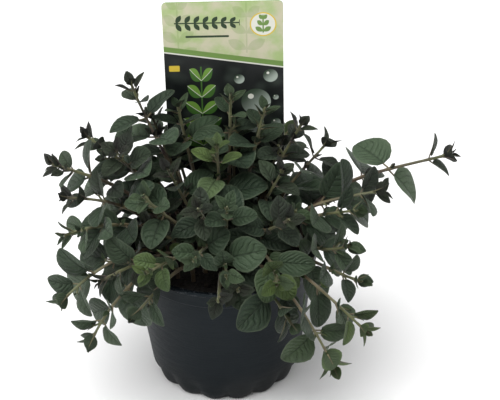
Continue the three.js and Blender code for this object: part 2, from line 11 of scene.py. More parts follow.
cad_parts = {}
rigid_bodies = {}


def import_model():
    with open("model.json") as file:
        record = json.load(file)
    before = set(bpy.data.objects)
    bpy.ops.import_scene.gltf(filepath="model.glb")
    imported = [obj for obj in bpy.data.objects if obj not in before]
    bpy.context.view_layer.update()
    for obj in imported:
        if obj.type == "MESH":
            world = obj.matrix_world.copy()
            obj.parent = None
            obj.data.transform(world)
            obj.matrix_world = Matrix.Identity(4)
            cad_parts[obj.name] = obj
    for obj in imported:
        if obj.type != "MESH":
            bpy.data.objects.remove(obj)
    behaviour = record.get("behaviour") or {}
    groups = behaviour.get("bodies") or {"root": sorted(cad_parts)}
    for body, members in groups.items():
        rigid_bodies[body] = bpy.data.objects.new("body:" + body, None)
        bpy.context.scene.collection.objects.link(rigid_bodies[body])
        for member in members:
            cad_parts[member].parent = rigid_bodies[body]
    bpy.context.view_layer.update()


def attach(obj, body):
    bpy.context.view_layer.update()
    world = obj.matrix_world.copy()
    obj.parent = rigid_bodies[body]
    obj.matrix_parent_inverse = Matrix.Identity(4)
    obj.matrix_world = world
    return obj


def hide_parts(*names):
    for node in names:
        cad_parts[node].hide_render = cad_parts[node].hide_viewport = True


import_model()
mm = 0.001


def newObject(name, data):
    made = bpy.data.objects.new(name, data)
    bpy.context.scene.collection.objects.link(made)
    return made


# The camera stands where the photograph was taken from.
cameraPlace = {
    "target": (0.0172, 0.0, 0.1204),
    "elevation": 33.5,
    "distance": 1.05,
    "roll": -1.2,
    "lens": 123.9,
    "clip": (0.05, 20),
}


def addCamera(place):
    camera = newObject("photoCamera", bpy.data.cameras.new("photoCamera"))
    camera.data.lens = place["lens"]
    camera.data.clip_start, camera.data.clip_end = place["clip"]
    lift, roll = math.radians(place["elevation"]), math.radians(place["roll"])
    back = Vector((0, -math.cos(lift), math.sin(lift)))
    right = Vector((1, 0, 0))
    upward = back.cross(right)
    turned = right * math.cos(roll) + upward * math.sin(roll)
    over = upward * math.cos(roll) - right * math.sin(roll)
    camera.matrix_world = Matrix((turned, over, back)).transposed().to_4x4()
    camera.location = Vector(place["target"]) + back * place["distance"]
    bpy.context.scene.camera = camera


addCamera(cameraPlace)
print("camera placed")

# The soft studio: each lamp as (name, place, size, watts). All look at the middle of the plant.
studio = {
    "lamps": [
        ("topSoftbox", (-0.25, -0.35, 1.9), 2.0, 47.0),
        ("leftSoftbox", (-1.2, -0.1, 0.55), 0.6, 7.0),
        ("rightSoftbox", (1.3, 0.3, 0.6), 0.6, 3.0),
    ],
    "aim": (0.0, 0.0, 0.12),
    "sky": 0.42,
    "floorSize": 12.0,
    "floorColor": (0.9, 0.9, 0.9, 1),
    "floorRoughness": 0.9,
}


def addStudio(setup):
    for name, place, size, watts in setup["lamps"]:
        lamp = newObject(name, bpy.data.lights.new(name, "AREA"))
        lamp.data.shape, lamp.data.size, lamp.data.energy = "DISK", size, watts
        lamp.location = place
        lamp.rotation_euler = (Vector(setup["aim"]) - Vector(place)).to_track_quat("-Z", "Y").to_euler()
    bpy.context.scene.view_settings.view_transform = "Standard"
    world = bpy.context.scene.world or bpy.data.worlds.new("studioWorld")
    bpy.context.scene.world = world
    world.use_nodes = True
    background = world.node_tree.nodes["Background"]
    background.inputs["Color"].default_value = (1, 1, 1, 1)
    background.inputs["Strength"].default_value = setup["sky"]
    half = setup["floorSize"] / 2
    corners = [(-half, -half, 0), (half, -half, 0), (half, half, 0), (-half, half, 0)]
    floor = bpy.data.meshes.new("floor")
    floor.from_pydata(corners, [], [(0, 1, 2, 3)])
    paper = bpy.data.materials.new("floorPaper")
    paper.use_nodes = True
    sockets = paper.node_tree.nodes["Principled BSDF"].inputs
    sockets["Base Color"].default_value = setup["floorColor"]
    sockets["Roughness"].default_value = setup["floorRoughness"]
    floor.materials.append(paper)
    newObject("floor", floor)


addStudio(studio)
print("studio lit")

# How the plant grows, by the frame's own rule, in millimetres.
pot = {
    "height": 93.0,
    "rimRadius": 60.0,
    "lipHeight": 2.2,
    "collarRadius": 58.2,
    "collarHeight": 11.0,
    "wallTopRadius": 57.2,
    "wallFootRadius": 46.4,
    "footRadius": 43.4,
    "footCorner": 9.0,
    "wall": 1.2,
    "floor": 1.6,
    "scallops": 16,
    "scallopDepth": 3.2,
    "scallopHeight": 15.0,
    "drainSlots": 6,
    "drainInner": 28.0,
    "drainOuter": 36.0,
    "drainWidth": 5.0,
}
soil = {"top": 84.0, "rippleHeight": 1.1}
label = {
    "width": 72.0,
    "top": 237.5,
    "cardBottom": 128.0,
    "stakeWidth": 20.0,
    "shoulder": 16.0,
    "bottom": 38.0,
    "thickness": 0.7,
    "corner": 3.0,
    "point": 14.0,
    "pointHalf": 2.5,
    "centreX": 3.2,
    "centreY": 36.0,
}
stem = {
    "half": (1.3, 0.75),  # half of the square section's side in the soil and at the tip
    "nearestRoot": 6.0,
    "rootSpread": 0.3,
    "rise": 0.42,
    "run": 0.4,
    "besideLabel": 12.0,
    "behindLabel": 3.0,
    "rootBehind": 5.0,
    "rootSway": 0.8,
    "vigours": (0.92, 1.1),
}
# One row per leaf pair from the tip: distance from the tip, leaf length, opening in degrees, width share.
leafPairs = [
    (6, 12, 38, 0.52),
    (14, 17, 52, 0.58),
    (25, 23, 62, 0.64),
    (39, 29, 70, 0.68),
    (56, 34, 77, 0.7),
    (76, 36, 82, 0.7),
    (98, 36, 85, 0.7),
]
leaf = {
    "longest": 36.0,
    "petiole": 0.15,
    "petioleWidth": 1.3,
    "fold": 0.28,
    "wave": 0.12,
    "curl": 0.2,
    "curls": (0.4, 1.5),  # shares of the curl and of the wave that chance gives a leaf
    "waves": (-1, 1),
    "wanders": (-14, 14),  # degrees that chance adds to a leaf's turn and to its opening
    "openings": (-8, 8),
    "droop": 0.25,
    "ripples": 7.0,
    "light": 0.72,
    "sideLight": 0.004,
    "frontLight": 0.35,
    "lowest": -0.45,
    "highest": 0.75,
    "leastLeaving": 0.3,
    "freeEnd": 10.0,
    "outline": (0.72, 0.8),
}
# The leaves part over the front left of the rim: a space that slides forward by its slope as it rises.
parting = {"sides": (-28.0, -2.0), "depth": (-64.0, -34.0), "slope": 1.5, "top": 125.0}
# The lone leaf near the end of the long stem leans back, and its face turns forward.
loneLeaf = {"stem": "stem_right_long", "fromTip": 39, "side": 0, "lean": 42.0, "frontLight": 1.6}
# The stems of the outline: node, bearing, reach, height, pitch of the tip, turn, vigour, pair left off.
placedStems = [
    ("stem_upper_left", 160, 56, 194, 72, 20, 1, None),
    ("stem_left_round", 173, 82, 163, 38, 40, 1, None),
    ("stem_left_long", 186, 101, 156, 24, 0, 1, None),
    ("stem_left_low", 194, 96, 140, 10, 60, 1, None),
    ("stem_left_spread", 203, 101, 124, -8, 20, 1, None),
    ("stem_left_hanging", 213, 113, 92, -38, 0, 1.1, None),
    ("stem_left_lowest", 225, 110, 74, -58, 0, 1.1, None),
    ("stem_left_under", 219, 94, 104, -20, 50, 1, None),
    ("stem_left_curtain", 234, 88, 88, -36, 15, 1.15, None),
    ("stem_front_left", 238, 84, 118, 8, 30, 1, None),
    ("stem_inner_left", 222, 60, 152, 62, 70, 1, None),
    ("stem_top_left", 146, 50, 165, 70, 10, 1, None),
    ("stem_top_centre_left", 140, 33, 177, 80, 50, 1, None),
    ("stem_top_centre", 70, 20, 184, 84, 30, 1, None),
    ("stem_centre", 262, 12, 168, 80, 80, 1, None),
    ("stem_top_centre_right", 36, 34, 174, 72, 40, 1, None),
    ("stem_top_right", 22, 54, 163, 58, 0, 1, None),
    ("stem_right_bud", 14, 68, 152, 50, 60, 1, None),
    ("stem_right_long", 3, 140, 146, 14, 90, 1, 2),
    ("stem_right_dark", -7, 98, 133, 14, 20, 1, None),
    ("stem_right_mid", -19, 86, 130, 18, 50, 1, None),
    ("stem_right_upright", -30, 88, 117, 48, 10, 1, None),
    ("stem_right_low", -38, 104, 104, 10, 30, 1, None),
    ("stem_right_hanging", -45, 118, 82, -30, 0, 1, None),
    ("stem_right_lowest", -55, 112, 62, -66, 70, 1, None),
    ("stem_right_curtain", -63, 90, 84, -40, 35, 1.15, None),
    ("stem_front_right", -68, 84, 112, -2, 40, 1, None),
    ("stem_front", -88, 74, 116, 4, 20, 1, None),
    ("stem_front_middle", -104, 68, 122, 12, 60, 1, None),
    ("stem_inner_front", 254, 48, 146, 55, 0, 1, None),
    ("stem_inner_right", -50, 62, 138, 48, 30, 1, None),
]
# The stems that fill it: name, count, first bearing, sweep, reach from and to, middle height, fall, pitch.
fillingStems = [
    ("stem_back", 5, 34, 120, 74, 88, 172, 0.006, 10),
    ("stem_dome", 10, 0, 360, 20, 58, 166, 0.011, 62),
    ("stem_rim", 4, 150, 250, 62, 80, 146, 0.007, 10),
]
# What chance adds to a filling stem's height and pitch, and the turn that it gives it.
fillingChance = {"height": (-7, 7), "pitch": (-14, 14), "turn": (0, 90)}
clear = {
    "stem": 0.8,
    "blade": 0.65,
    "sampleEvery": 0.9,
    "petiole": 2.0,
    "beside": 3.0,
    "near": 7.0,
    "ownStem": 1.9,
    "pot": 1.5,
    "label": 1.5,
    "soil": 3.0,
    "table": 3.0,
}
growth = {
    "seed": 20418,
    "cell": 1.2,
    "cells": (400, 400, 240),
    "cellsEachWay": (200, 200, 30),  # cells below the grid's origin along X, Y and Z
    "potInside": 54.0,
    "pathSteps": 60,
    "sways": [0, 5, -5, 10, -10, 16, -16, 24, -24, 34, -34, 48, -48, 64, -64],
    "rootShifts": [0, -4, 4, 8],
    "goldenShare": 0.381966,
    "bendScales": [1, 0.86, 0.72],
    "bendLifts": [0, -16, 14, -32],
    "bendTurns": [0, 16, -16, 32, -32],
}
upVector = np.array([0.0, 0.0, 1.0])


# Seeded draws: each is the last one times a fixed factor, less the whole turns of a large prime.
class Draws:
    factor, prime = 16807, 2147483647

    def __init__(self, seed):
        self.last = seed

    def between(self, low, high):
        self.last = self.last * self.factor % self.prime
        return low + (high - low) * (self.last / self.prime)


def radians(degrees):
    return degrees * math.pi / 180


def around(radius, angle, z):
    return np.array([radius * math.cos(angle), radius * math.sin(angle), z])


def unit(v):
    return v / math.sqrt(v @ v)


# The smooth step of a t from 0 to 1: 3t^2 - 2t^3.
def eased(t):
    return t * t * (3 - 2 * t)


# A point of a cubic Bezier path: its four handles weighed by the third powers of t and 1 - t.
def pathPoint(path, t):
    t = np.asarray(t, float)[..., None]
    k = 1 - t
    return k * k * k * path[0] + 3 * k * k * t * path[1] + 3 * k * t * t * path[2] + t * t * t * path[3]


def pathTangent(path, t, step=0.0001):
    ends = pathPoint(path, [max(t - step, 0), min(t + step, 1)])
    return unit(ends[1] - ends[0])


# From the soil straight up at first, then over to the tip, and into it along its own heading. A stem that
# finds no space is turned about the axis or swayed aside, and its root is moved out or in.
def stemPath(row, shift, rootShift):
    sway = 0 if row["filling"] else shift
    bearing = radians(row["bearing"] + (shift if row["filling"] else 0))
    outward = around(1, bearing, 0)
    aside = np.array([-outward[1], outward[0], 0])
    tip = around(row["reach"], bearing, row["height"])
    besideLabel = abs(tip[0] - label["centreX"]) > label["width"] / 2 + stem["besideLabel"]
    rootReach = stem["nearestRoot"] + stem["rootSpread"] * row["reach"]
    if not besideLabel and tip[1] > label["centreY"] - stem["behindLabel"]:
        rootReach = (label["centreY"] + stem["rootBehind"]) / outward[1]
    root = around(rootReach + rootShift, bearing, soil["top"] + 2 * soil["rippleHeight"])
    root = root + aside * (stem["rootSway"] * sway)
    span = math.dist(root, tip)
    heading = around(math.cos(radians(row["pitch"])), bearing, math.sin(radians(row["pitch"])))
    rise = root + upVector * (stem["rise"] * span)
    return np.array([root, rise, tip + heading * (-stem["run"] * span) + aside * sway, tip])


def stemRows(draws):
    keys = ("name", "bearing", "reach", "height", "pitch", "turn", "vigour", "skip")
    rows = [dict(zip(keys, values), filling=False) for values in placedStems]
    for name, count, start, sweep, near, far, middle, fall, pitch in fillingStems:
        for i in range(count):
            root = math.sqrt((i + 0.5) / count)
            reach = (1 - root) * near + root * far
            bearing = start + sweep * ((i + 0.5) * growth["goldenShare"] % 1)
            height = middle - fall * reach * reach + draws.between(*fillingChance["height"])
            tipPitch = pitch + draws.between(*fillingChance["pitch"])
            values = (f"{name}_{i + 1}", bearing, reach, height, tipPitch)
            turn = draws.between(*fillingChance["turn"])
            rows.append(dict(zip(keys, (*values, turn, 1, None)), filling=True))
    return rows


# Square to the path all the way up: each frame is the last one, less what leans along the path.
def carriedFrames(path, across, steps):
    frames = []
    for i in range(steps + 1):
        along = pathTangent(path, i / steps)
        across = unit(across - along * (across @ along))
        frames.append((along, across, np.cross(along, across)))
    return frames


# The space is shared out in small cells, each with the number of the stem that holds it.
owner = np.zeros(growth["cells"], np.int16)


def cellsOf(points):
    cells = np.floor(points / growth["cell"]).astype(int) + np.array(growth["cellsEachWay"])
    return tuple(np.moveaxis(cells, -1, 0))


def outFrom(p):
    return np.hypot(p[..., 0], p[..., 1])


def inPotWall(p):
    out = outFrom(p)
    inRing = (out > growth["potInside"]) & (out < pot["rimRadius"] + clear["pot"])
    return inRing & (p[..., 2] < pot["height"] + clear["pot"])


def inSoil(p):
    return (outFrom(p) <= growth["potInside"]) & (p[..., 2] < soil["top"] + clear["soil"])


def inLabel(p):
    isCard = p[..., 2] > label["cardBottom"] - label["shoulder"]
    half = np.where(isCard, label["width"] / 2, label["stakeWidth"] / 2) + clear["label"]
    inFace = (abs(p[..., 0] - label["centreX"]) <= half) & (p[..., 2] < label["top"] + clear["label"])
    return inFace & (abs(p[..., 1] - label["centreY"]) < clear["label"])


def inParting(p):
    slid = p[..., 1] + (p[..., 2] - pot["height"]) * parting["slope"]
    left, right = parting["sides"]
    front, back = parting["depth"]
    beside = (p[..., 0] < left) | (p[..., 0] > right)
    return ~beside & (p[..., 2] < parting["top"]) & (slid > front) & (slid < back)


cubeGrid = np.array([(x, y, z) for x in (-1, 0, 1) for y in (-1, 0, 1) for z in (-1, 0, 1)])
pathShares = np.arange(growth["pathSteps"] + 1) / growth["pathSteps"]


# Cells round the path out to its surface and a little more. A side shoot's foot may lie in the cells of its
# parent.
def claimPath(points, number, half, parent=None, footFree=0.0):
    reach = (1 - pathShares) * half[0] + pathShares * half[1] + clear["stem"]
    filled = points[:, None, :] + reach[:, None, None] * cubeGrid
    cells = cellsOf(filled)
    taken = owner[cells] != 0
    if parent is not None:
        nearFoot = np.linalg.norm(points - points[0], axis=1) < footFree
        taken &= ~(nearFoot[:, None] & (abs(owner[cells]) == parent))
        taken |= inParting(filled)
    if taken.any() or inPotWall(filled).any() or inLabel(filled).any():
        return False
    fresh = owner[cells] == 0
    owner[tuple(axis[fresh] for axis in cells)] = number
    return True


# The path with its points, the frames along it and the distance from the tip at each of them.
def newStem(name, number, path, across, half, vigour, skip=None):
    points = pathPoint(path, pathShares)
    lengths = np.linalg.norm(points[:0:-1] - points[-2::-1], axis=1)
    fromTip = np.concatenate([[0], np.cumsum(lengths)])
    return {
        "name": name,
        "number": number,
        "path": path,
        "points": points,
        "half": half,
        "frames": carriedFrames(path, across, growth["pathSteps"]),
        "fromTip": fromTip,
        "length": fromTip[-1],
        "vigour": vigour,
        "skip": skip,
        "leaves": [],
    }


def growStems(draws):
    stems = []
    tried = [(shift, rootShift) for shift in growth["sways"] for rootShift in growth["rootShifts"]]
    for row in stemRows(draws):
        number = len(stems) + 1
        for shifts in tried:
            path = stemPath(row, *shifts)
            points = pathPoint(path, pathShares)
            if row["filling"] and inParting(points[-1]):
                continue
            if claimPath(points, number, stem["half"]):
                across = around(1, radians(row["turn"]), 0)
                vigour = row["vigour"] * draws.between(*stem["vigours"])
                stems.append(newStem(row["name"], number, path, across, stem["half"], vigour, row["skip"]))
                break
    return stems


# The share of the path, from root to tip, that is a distance from the tip.
def parameterAt(one, distance):
    steps = growth["pathSteps"]
    return 1 - np.interp(distance, one["fromTip"], np.arange(steps + 1)) / steps


# A place on a stem by its distance from the tip: its share of the path, the way along the stem there, and
# the way out of it at each of the turns.
def stemPlace(one, distance, *turns):
    t = float(parameterAt(one, distance))
    along, across, over = one["frames"][math.floor(t * growth["pathSteps"] + 0.5)]
    return t, along, *(across * math.cos(turn) + over * math.sin(turn) for turn in turns)


# The turn to the flat side that a leaf stands on: pairs stand crosswise.
def flatTurn(index, side):
    return radians(index % 2 * 90 + side * 180)


# How wide a blade is, as a share of its full half width: sin(pi * u^a)^b. A small a puts the widest place
# near the base, and a small b makes the tip blunt.
def bladeShape(u, outline):
    return np.sin(np.pi * np.clip(u, 0, 1) ** outline[0]) ** outline[1]


# Where a leaf stands: it opens from the stem's flat side, droops, and turns its face to the light.
def leafFrame(one, pair, side, turn, lift, scale, curl, wave, outline):
    index, fromTip, pairLength, opening, width = pair
    flat = flatTurn(index, side)
    t, along, leaving, outward = stemPlace(one, fromTip, flat, flat + radians(turn))
    half = (1 - t) * one["half"][0] + t * one["half"][1]
    root = pathPoint(one["path"], t) + leaving * half
    front = leaf["frontLight"]
    if (one["name"], fromTip, side) == (loneLeaf["stem"], loneLeaf["fromTip"], loneLeaf["side"]):
        lift, front = lift + loneLeaf["lean"], loneLeaf["frontLight"]
    size = pairLength / leaf["longest"]
    opened = radians(opening + lift)
    ahead = outward * math.sin(opened) + along * math.cos(opened)
    ahead[2] = min(max(ahead[2] - leaf["droop"] * size, leaf["lowest"]), leaf["highest"])
    ahead = unit(ahead)
    facing = unit(along - ahead * (along @ ahead))
    light = np.array([root[0] * leaf["sideLight"], root[1] * leaf["sideLight"] - front, 1])
    facing = facing * (1 - leaf["light"] * size) + light * (leaf["light"] * size)
    facing = unit(facing - ahead * (facing @ ahead))
    length = pairLength * one["vigour"] * scale
    return {
        "pair": index,
        "side": side,
        "leaving": ahead @ leaving,
        "root": root,
        "ahead": ahead,
        "facing": facing,
        "sideways": np.cross(ahead, facing),
        "length": length,
        "half": length * width / 2,
        "curl": leaf["curl"] * curl,
        "wave": leaf["wave"] * wave,
        "outline": outline,
    }


# A point of the blade: root + ahead * length * s + sideways * half * t + facing * rise, and the rise folds,
# waves and curls the blade.
def leafPoint(at, s, t, half, lift=0.0):
    s, t, half = (np.asarray(v, float)[..., None] for v in (s, t, half))
    rise = (leaf["fold"] * abs(t) + at["wave"] * t * np.sin(leaf["ripples"] * s)) * half
    rise = rise - at["curl"] * at["length"] * s * s + np.asarray(lift)[..., None]
    return at["root"] + at["ahead"] * (at["length"] * s) + at["sideways"] * (half * t) + at["facing"] * rise


# The blade's full half width times its shape, and nowhere less than half the petiole's width.
def leafHalfWidth(at, s):
    u = (np.asarray(s, float) - leaf["petiole"]) / (1 - leaf["petiole"])
    return np.maximum(leaf["petioleWidth"] / 2, at["half"] * np.where(u > 0, bladeShape(u, at["outline"]), 0))


# The cells that a blade would fill, or None where one of them is taken. The small leaves of a tip, whose
# pairs are counted below 0, may reach into the parting.
def claimLeaf(at, one):
    alongSteps = math.ceil(at["length"] / clear["sampleEvery"])
    acrossSteps = math.ceil(at["half"] / clear["sampleEvery"])
    s = np.arange(alongSteps + 1) / alongSteps
    s = s[s * at["length"] >= clear["petiole"]]
    t = np.arange(-acrossSteps, acrossSteps + 1) / acrossSteps
    s, t = np.meshgrid(s, t, indexing="ij")
    middle = leafPoint(at, s, t, leafHalfWidth(at, s))
    levels = np.array([-clear["blade"], 0, clear["blade"]])
    points = middle[..., None, :] + at["facing"] * levels[:, None]
    if (points[..., 2] <= clear["table"]).any() or inSoil(points).any():
        return None
    if inPotWall(points).any() or inLabel(points).any() or (at["pair"] >= 0 and inParting(points).any()):
        return None
    cells = cellsOf(points)
    held = owner[cells]
    if (held[held != 0] != one["number"]).any():
        return None
    out = np.broadcast_to((s * at["length"])[..., None], held.shape)
    own = (held != 0) & (out >= clear["beside"])
    if (out[own] >= clear["near"]).any():
        return None
    apart = np.linalg.norm(points[own][:, None] - one["points"], axis=2)
    return None if (apart <= clear["ownStem"]).any() else cells


# What a leaf tries in turn: all the turns for the first lift, then for the next, then the same when smaller.
def bendings(scales, lifts, turns):
    return [(turn, lift, scale) for scale in scales for lift in lifts for turn in turns]


bends = bendings(growth["bendScales"], growth["bendLifts"], growth["bendTurns"])


def growLeaf(one, pair, side, draws, tried=bends, outline=leaf["outline"]):
    wander, opened = draws.between(*leaf["wanders"]), draws.between(*leaf["openings"])
    curl, wave = draws.between(*leaf["curls"]), draws.between(*leaf["waves"])
    for turn, lift, scale in tried:
        at = leafFrame(one, pair, side, turn + wander, lift + opened, scale, curl, wave, outline)
        cells = claimLeaf(at, one) if at["leaving"] > leaf["leastLeaving"] else None
        if cells is not None:
            owner[cells] = -one["number"]
            at["cells"] = cells
            one["leaves"].append(at)
            return True
    return False


def growLeafPairs(stems, draws):
    missing = []
    for index, row in enumerate(leafPairs):
        for one in stems:
            if row[0] > one["length"] - leaf["freeEnd"] or one["skip"] == index:
                continue
            for side in (0, 1):
                if not growLeaf(one, (index, *row), side, draws):
                    missing.append((one, (index, *row), side))
    return missing


frameDraws = Draws(growth["seed"])
stems = growStems(frameDraws)
missingLeaves = growLeafPairs(stems, frameDraws)
print("grown", len(stems), "stems with", sum(len(one["leaves"]) for one in stems), "leaves")

# What is too small for the frame: the youngest leaves, small leaves in the gaps and short side shoots.
fineGrowth = {
    "seed": 7331,
    "youngOutline": (0.74, 0.78),
    "grownOutline": (0.86, 0.54),
    "grownFrom": (9.0, 19.0),  # blades of the first length are pointed, and of the second blunt
    "fullness": 0.4,  # how much wider than the frame's blade the lowest blades may be
    "fullnessSteps": [1, 0.75, 0.5, 0.25, 0, -0.2],
    "roundBelow": 105.0,  # blades are round below this height and slender above the next
    "slenderAbove": 158.0,
    "roundRight": 0.35,  # how much higher round blades reach for each millimetre to the right
    "axilPair": (7.5, 24, 0.6),
    "axilTurns": (38, -38),
    "axilScales": [1, 0.75, 0.55],
    "axilLifts": [0, -14, 18],
    "axilSizes": (0.75, 1.25),
    "axilAbove": 1.2,  # how far nearer to the tip than its leaf an axil leaf stands
    "tipPairs": [(3.0, 10, 32, 0.64), (1.2, 7.5, 21, 0.6), (0.3, 5, 10, 0.5)],
    "gapScales": [1, 0.62, 0.5, 0.38],
    "gapLifts": [0, 14, -16, 28, -32],
    "gapTurns": [0, 24, -24, 46, -46],
    "shootShare": 0.9,  # share of the leaf axils that try a side shoot
    "shootLength": (9, 30),
    "backLength": 1.6,  # how much longer the shoots behind the middle are
    "shootTries": [1, 0.8, 0.62, 0.45, 0.3],
    "shootOpening": (30, 62),
    "shootAside": (-30, 30),
    "shootVigours": (0.9, 1.15),
    "shootAbove": 1.4,
    "shootOut": 0.4,  # from the stem's middle to the shoot's foot
    "shootByLeaf": (0.55, 0.45),  # a shoot's length by its leaf's: the least share, and what a long leaf adds
    "shootRise": 0.18,
    "shootUpturn": 0.7,
    "shootHandles": (0.4, 0.35),
    "shootHalf": (0.62, 0.4),
    "shootPairs": [
        (0.3, 5, 11, 0.5),
        (1.8, 8.5, 27, 0.6),
        (5, 12.5, 43, 0.7),
        (11, 17, 56, 0.76),
        (19, 20, 66, 0.78),
        (29, 23, 72, 0.76),
    ],
    "shootEnd": 2.5,
    "bare": {"stem_right_long": 75, "stem_right_dark": 30},  # no side shoots nearer to these tips
    "footFree": 5.0,
    "endShare": 0.6,  # of the main stems' free end: no side shoots nearer to the soil
}


# 0 for the slender blades high up, 1 for the round ones low down, in proportion to height between.
def roundness(at):
    above = fineGrowth["slenderAbove"] + fineGrowth["roundRight"] * max(at["root"][0], 0) - at["root"][2]
    return min(max(above / (fineGrowth["slenderAbove"] - fineGrowth["roundBelow"]), 0), 1)


# Blades change from pointed to blunt in proportion to their length.
def outlineOf(length):
    share = np.interp(length, fineGrowth["grownFrom"], (0, 1))
    young, grown = np.array(fineGrowth["youngOutline"]), np.array(fineGrowth["grownOutline"])
    return tuple((1 - share) * young + share * grown)


# Each blade of the frame is made as full as its height asks and the space beside it allows.
def fillOut(one):
    for at in one["leaves"]:
        held = at["cells"]
        owner[held] = 0
        for step in fineGrowth["fullnessSteps"]:
            fullness = 1 + fineGrowth["fullness"] * step * roundness(at)
            fuller = dict(at, half=at["half"] * fullness, outline=outlineOf(at["length"]))
            cells = claimLeaf(fuller, one)
            if cells is not None:
                at.update(half=fuller["half"], outline=fuller["outline"])
                held = cells
                break
        owner[held] = -one["number"]


# Two small leaves of the axil bud, one on each side of a leaf.
def growAxilLeaves(one, draws):
    length, opening, width = fineGrowth["axilPair"]
    shares = np.linspace(0, 1, growth["pathSteps"] + 1)
    for at in list(one["leaves"]):
        if at["pair"] < 0 or at["length"] < 2 * length:
            continue
        t = np.argmin(np.linalg.norm(one["points"] - at["root"], axis=1)) / growth["pathSteps"]
        fromTip = float(np.interp(t, shares, one["fromTip"][::-1])) - fineGrowth["axilAbove"]
        size = length * draws.between(*fineGrowth["axilSizes"])
        pair = (at["pair"], fromTip, size, opening, width)
        for turn in fineGrowth["axilTurns"]:
            tried = bendings(fineGrowth["axilScales"], fineGrowth["axilLifts"], [turn])
            growLeaf(one, pair, at["side"], draws, tried, outlineOf(size))


def growTips(stems, draws):
    for number, row in enumerate(fineGrowth["tipPairs"]):
        for one in stems:
            for side in (0, 1):
                growLeaf(one, (-1 - number, *row), side, draws, bends, outlineOf(row[1]))


# A side shoot leaves the stem just above a leaf, opens from it and rises at its tip.
def shootPath(one, row, index, side, share, draws):
    t, along, leaving = stemPlace(one, row[0] - fineGrowth["shootAbove"], flatTurn(index, side))
    opening = radians(draws.between(*fineGrowth["shootOpening"]))
    aside = np.cross(along, leaving) * math.tan(radians(draws.between(*fineGrowth["shootAside"])))
    heading = unit(leaving * math.sin(opening) + along * math.cos(opening) + aside * 0.5)
    least, more = fineGrowth["shootByLeaf"]
    byLeaf = least + more * min(row[1] / leaf["longest"], 1)
    length = share * draws.between(*fineGrowth["shootLength"]) * byLeaf
    foot = pathPoint(one["path"], t) + leaving * fineGrowth["shootOut"]
    length = length * (fineGrowth["backLength"] if foot[1] > 0 else 1)
    tip = foot + heading * length + upVector * (fineGrowth["shootRise"] * length)
    into = unit(heading + upVector * fineGrowth["shootUpturn"])
    low, high = fineGrowth["shootHandles"]
    return np.array([foot, foot + heading * (low * length), tip - into * (high * length), tip]), leaving


def growShoot(one, row, index, side, number, draws):
    half = fineGrowth["shootHalf"]
    for share in fineGrowth["shootTries"]:
        path, leaving = shootPath(one, row, index, side, share, draws)
        if claimPath(pathPoint(path, pathShares), number, half, one["number"], fineGrowth["footFree"]):
            vigour = draws.between(*fineGrowth["shootVigours"])
            return dict(newStem(one["name"], number, path, leaving, half, vigour), parent=one["name"])
    return None


def growShoots(stems, draws):
    shoots = []
    for index, row in list(enumerate(leafPairs))[1:]:
        for one in stems:
            highest, lowest = fineGrowth["bare"].get(one["name"], 0), leaf["freeEnd"] * fineGrowth["endShare"]
            if not highest < row[0] < one["length"] - lowest:
                continue
            for side in (0, 1):
                wanted = draws.between(0, 1) < fineGrowth["shootShare"]
                number = len(stems) + len(shoots) + 1
                shoot = growShoot(one, row, index, side, number, draws) if wanted else None
                if shoot:
                    shoots.append(shoot)
    for index, row in enumerate(fineGrowth["shootPairs"]):
        for shoot in shoots:
            if row[0] < shoot["length"] - fineGrowth["shootEnd"]:
                for side in (0, 1):
                    growLeaf(shoot, (index, *row), side, draws, gapBends, outlineOf(row[1]))
    return shoots


gapBends = bendings(fineGrowth["gapScales"], fineGrowth["gapLifts"], fineGrowth["gapTurns"])
fineDraws = Draws(fineGrowth["seed"])
for one in stems:
    fillOut(one)
growTips(stems, fineDraws)
for one, pair, side in missingLeaves:
    growLeaf(one, pair, side, fineDraws, gapBends, outlineOf(pair[2]))
shoots = growShoots(stems, fineDraws)
for one in stems + shoots:
    growAxilLeaves(one, fineDraws)
print("grown", len(shoots), "side shoots; leaves in all", sum(len(one["leaves"]) for one in stems + shoots))

# Short ways to lay out shader nodes come first, then the leaves' and the stems' own materials.
# A value in a shader: plain arithmetic on it lays Math nodes.
class ShaderValue:
    def __init__(self, board, socket):
        self.board, self.socket = board, socket

    def __add__(self, other):
        return self.board.math("ADD", self, other)

    def __sub__(self, other):
        return self.board.math("SUBTRACT", self, other)

    def __rsub__(self, other):
        return self.board.math("SUBTRACT", other, self)

    def __mul__(self, other):
        return self.board.math("MULTIPLY", self, other)

    def __truediv__(self, other):
        return self.board.math("DIVIDE", self, other)

    def __mod__(self, other):
        return self.board.math("FLOORED_MODULO", self, other)

    def __pow__(self, other):
        return self.board.math("POWER", self, other)

    def __abs__(self):
        return self.board.math("ABSOLUTE", self)


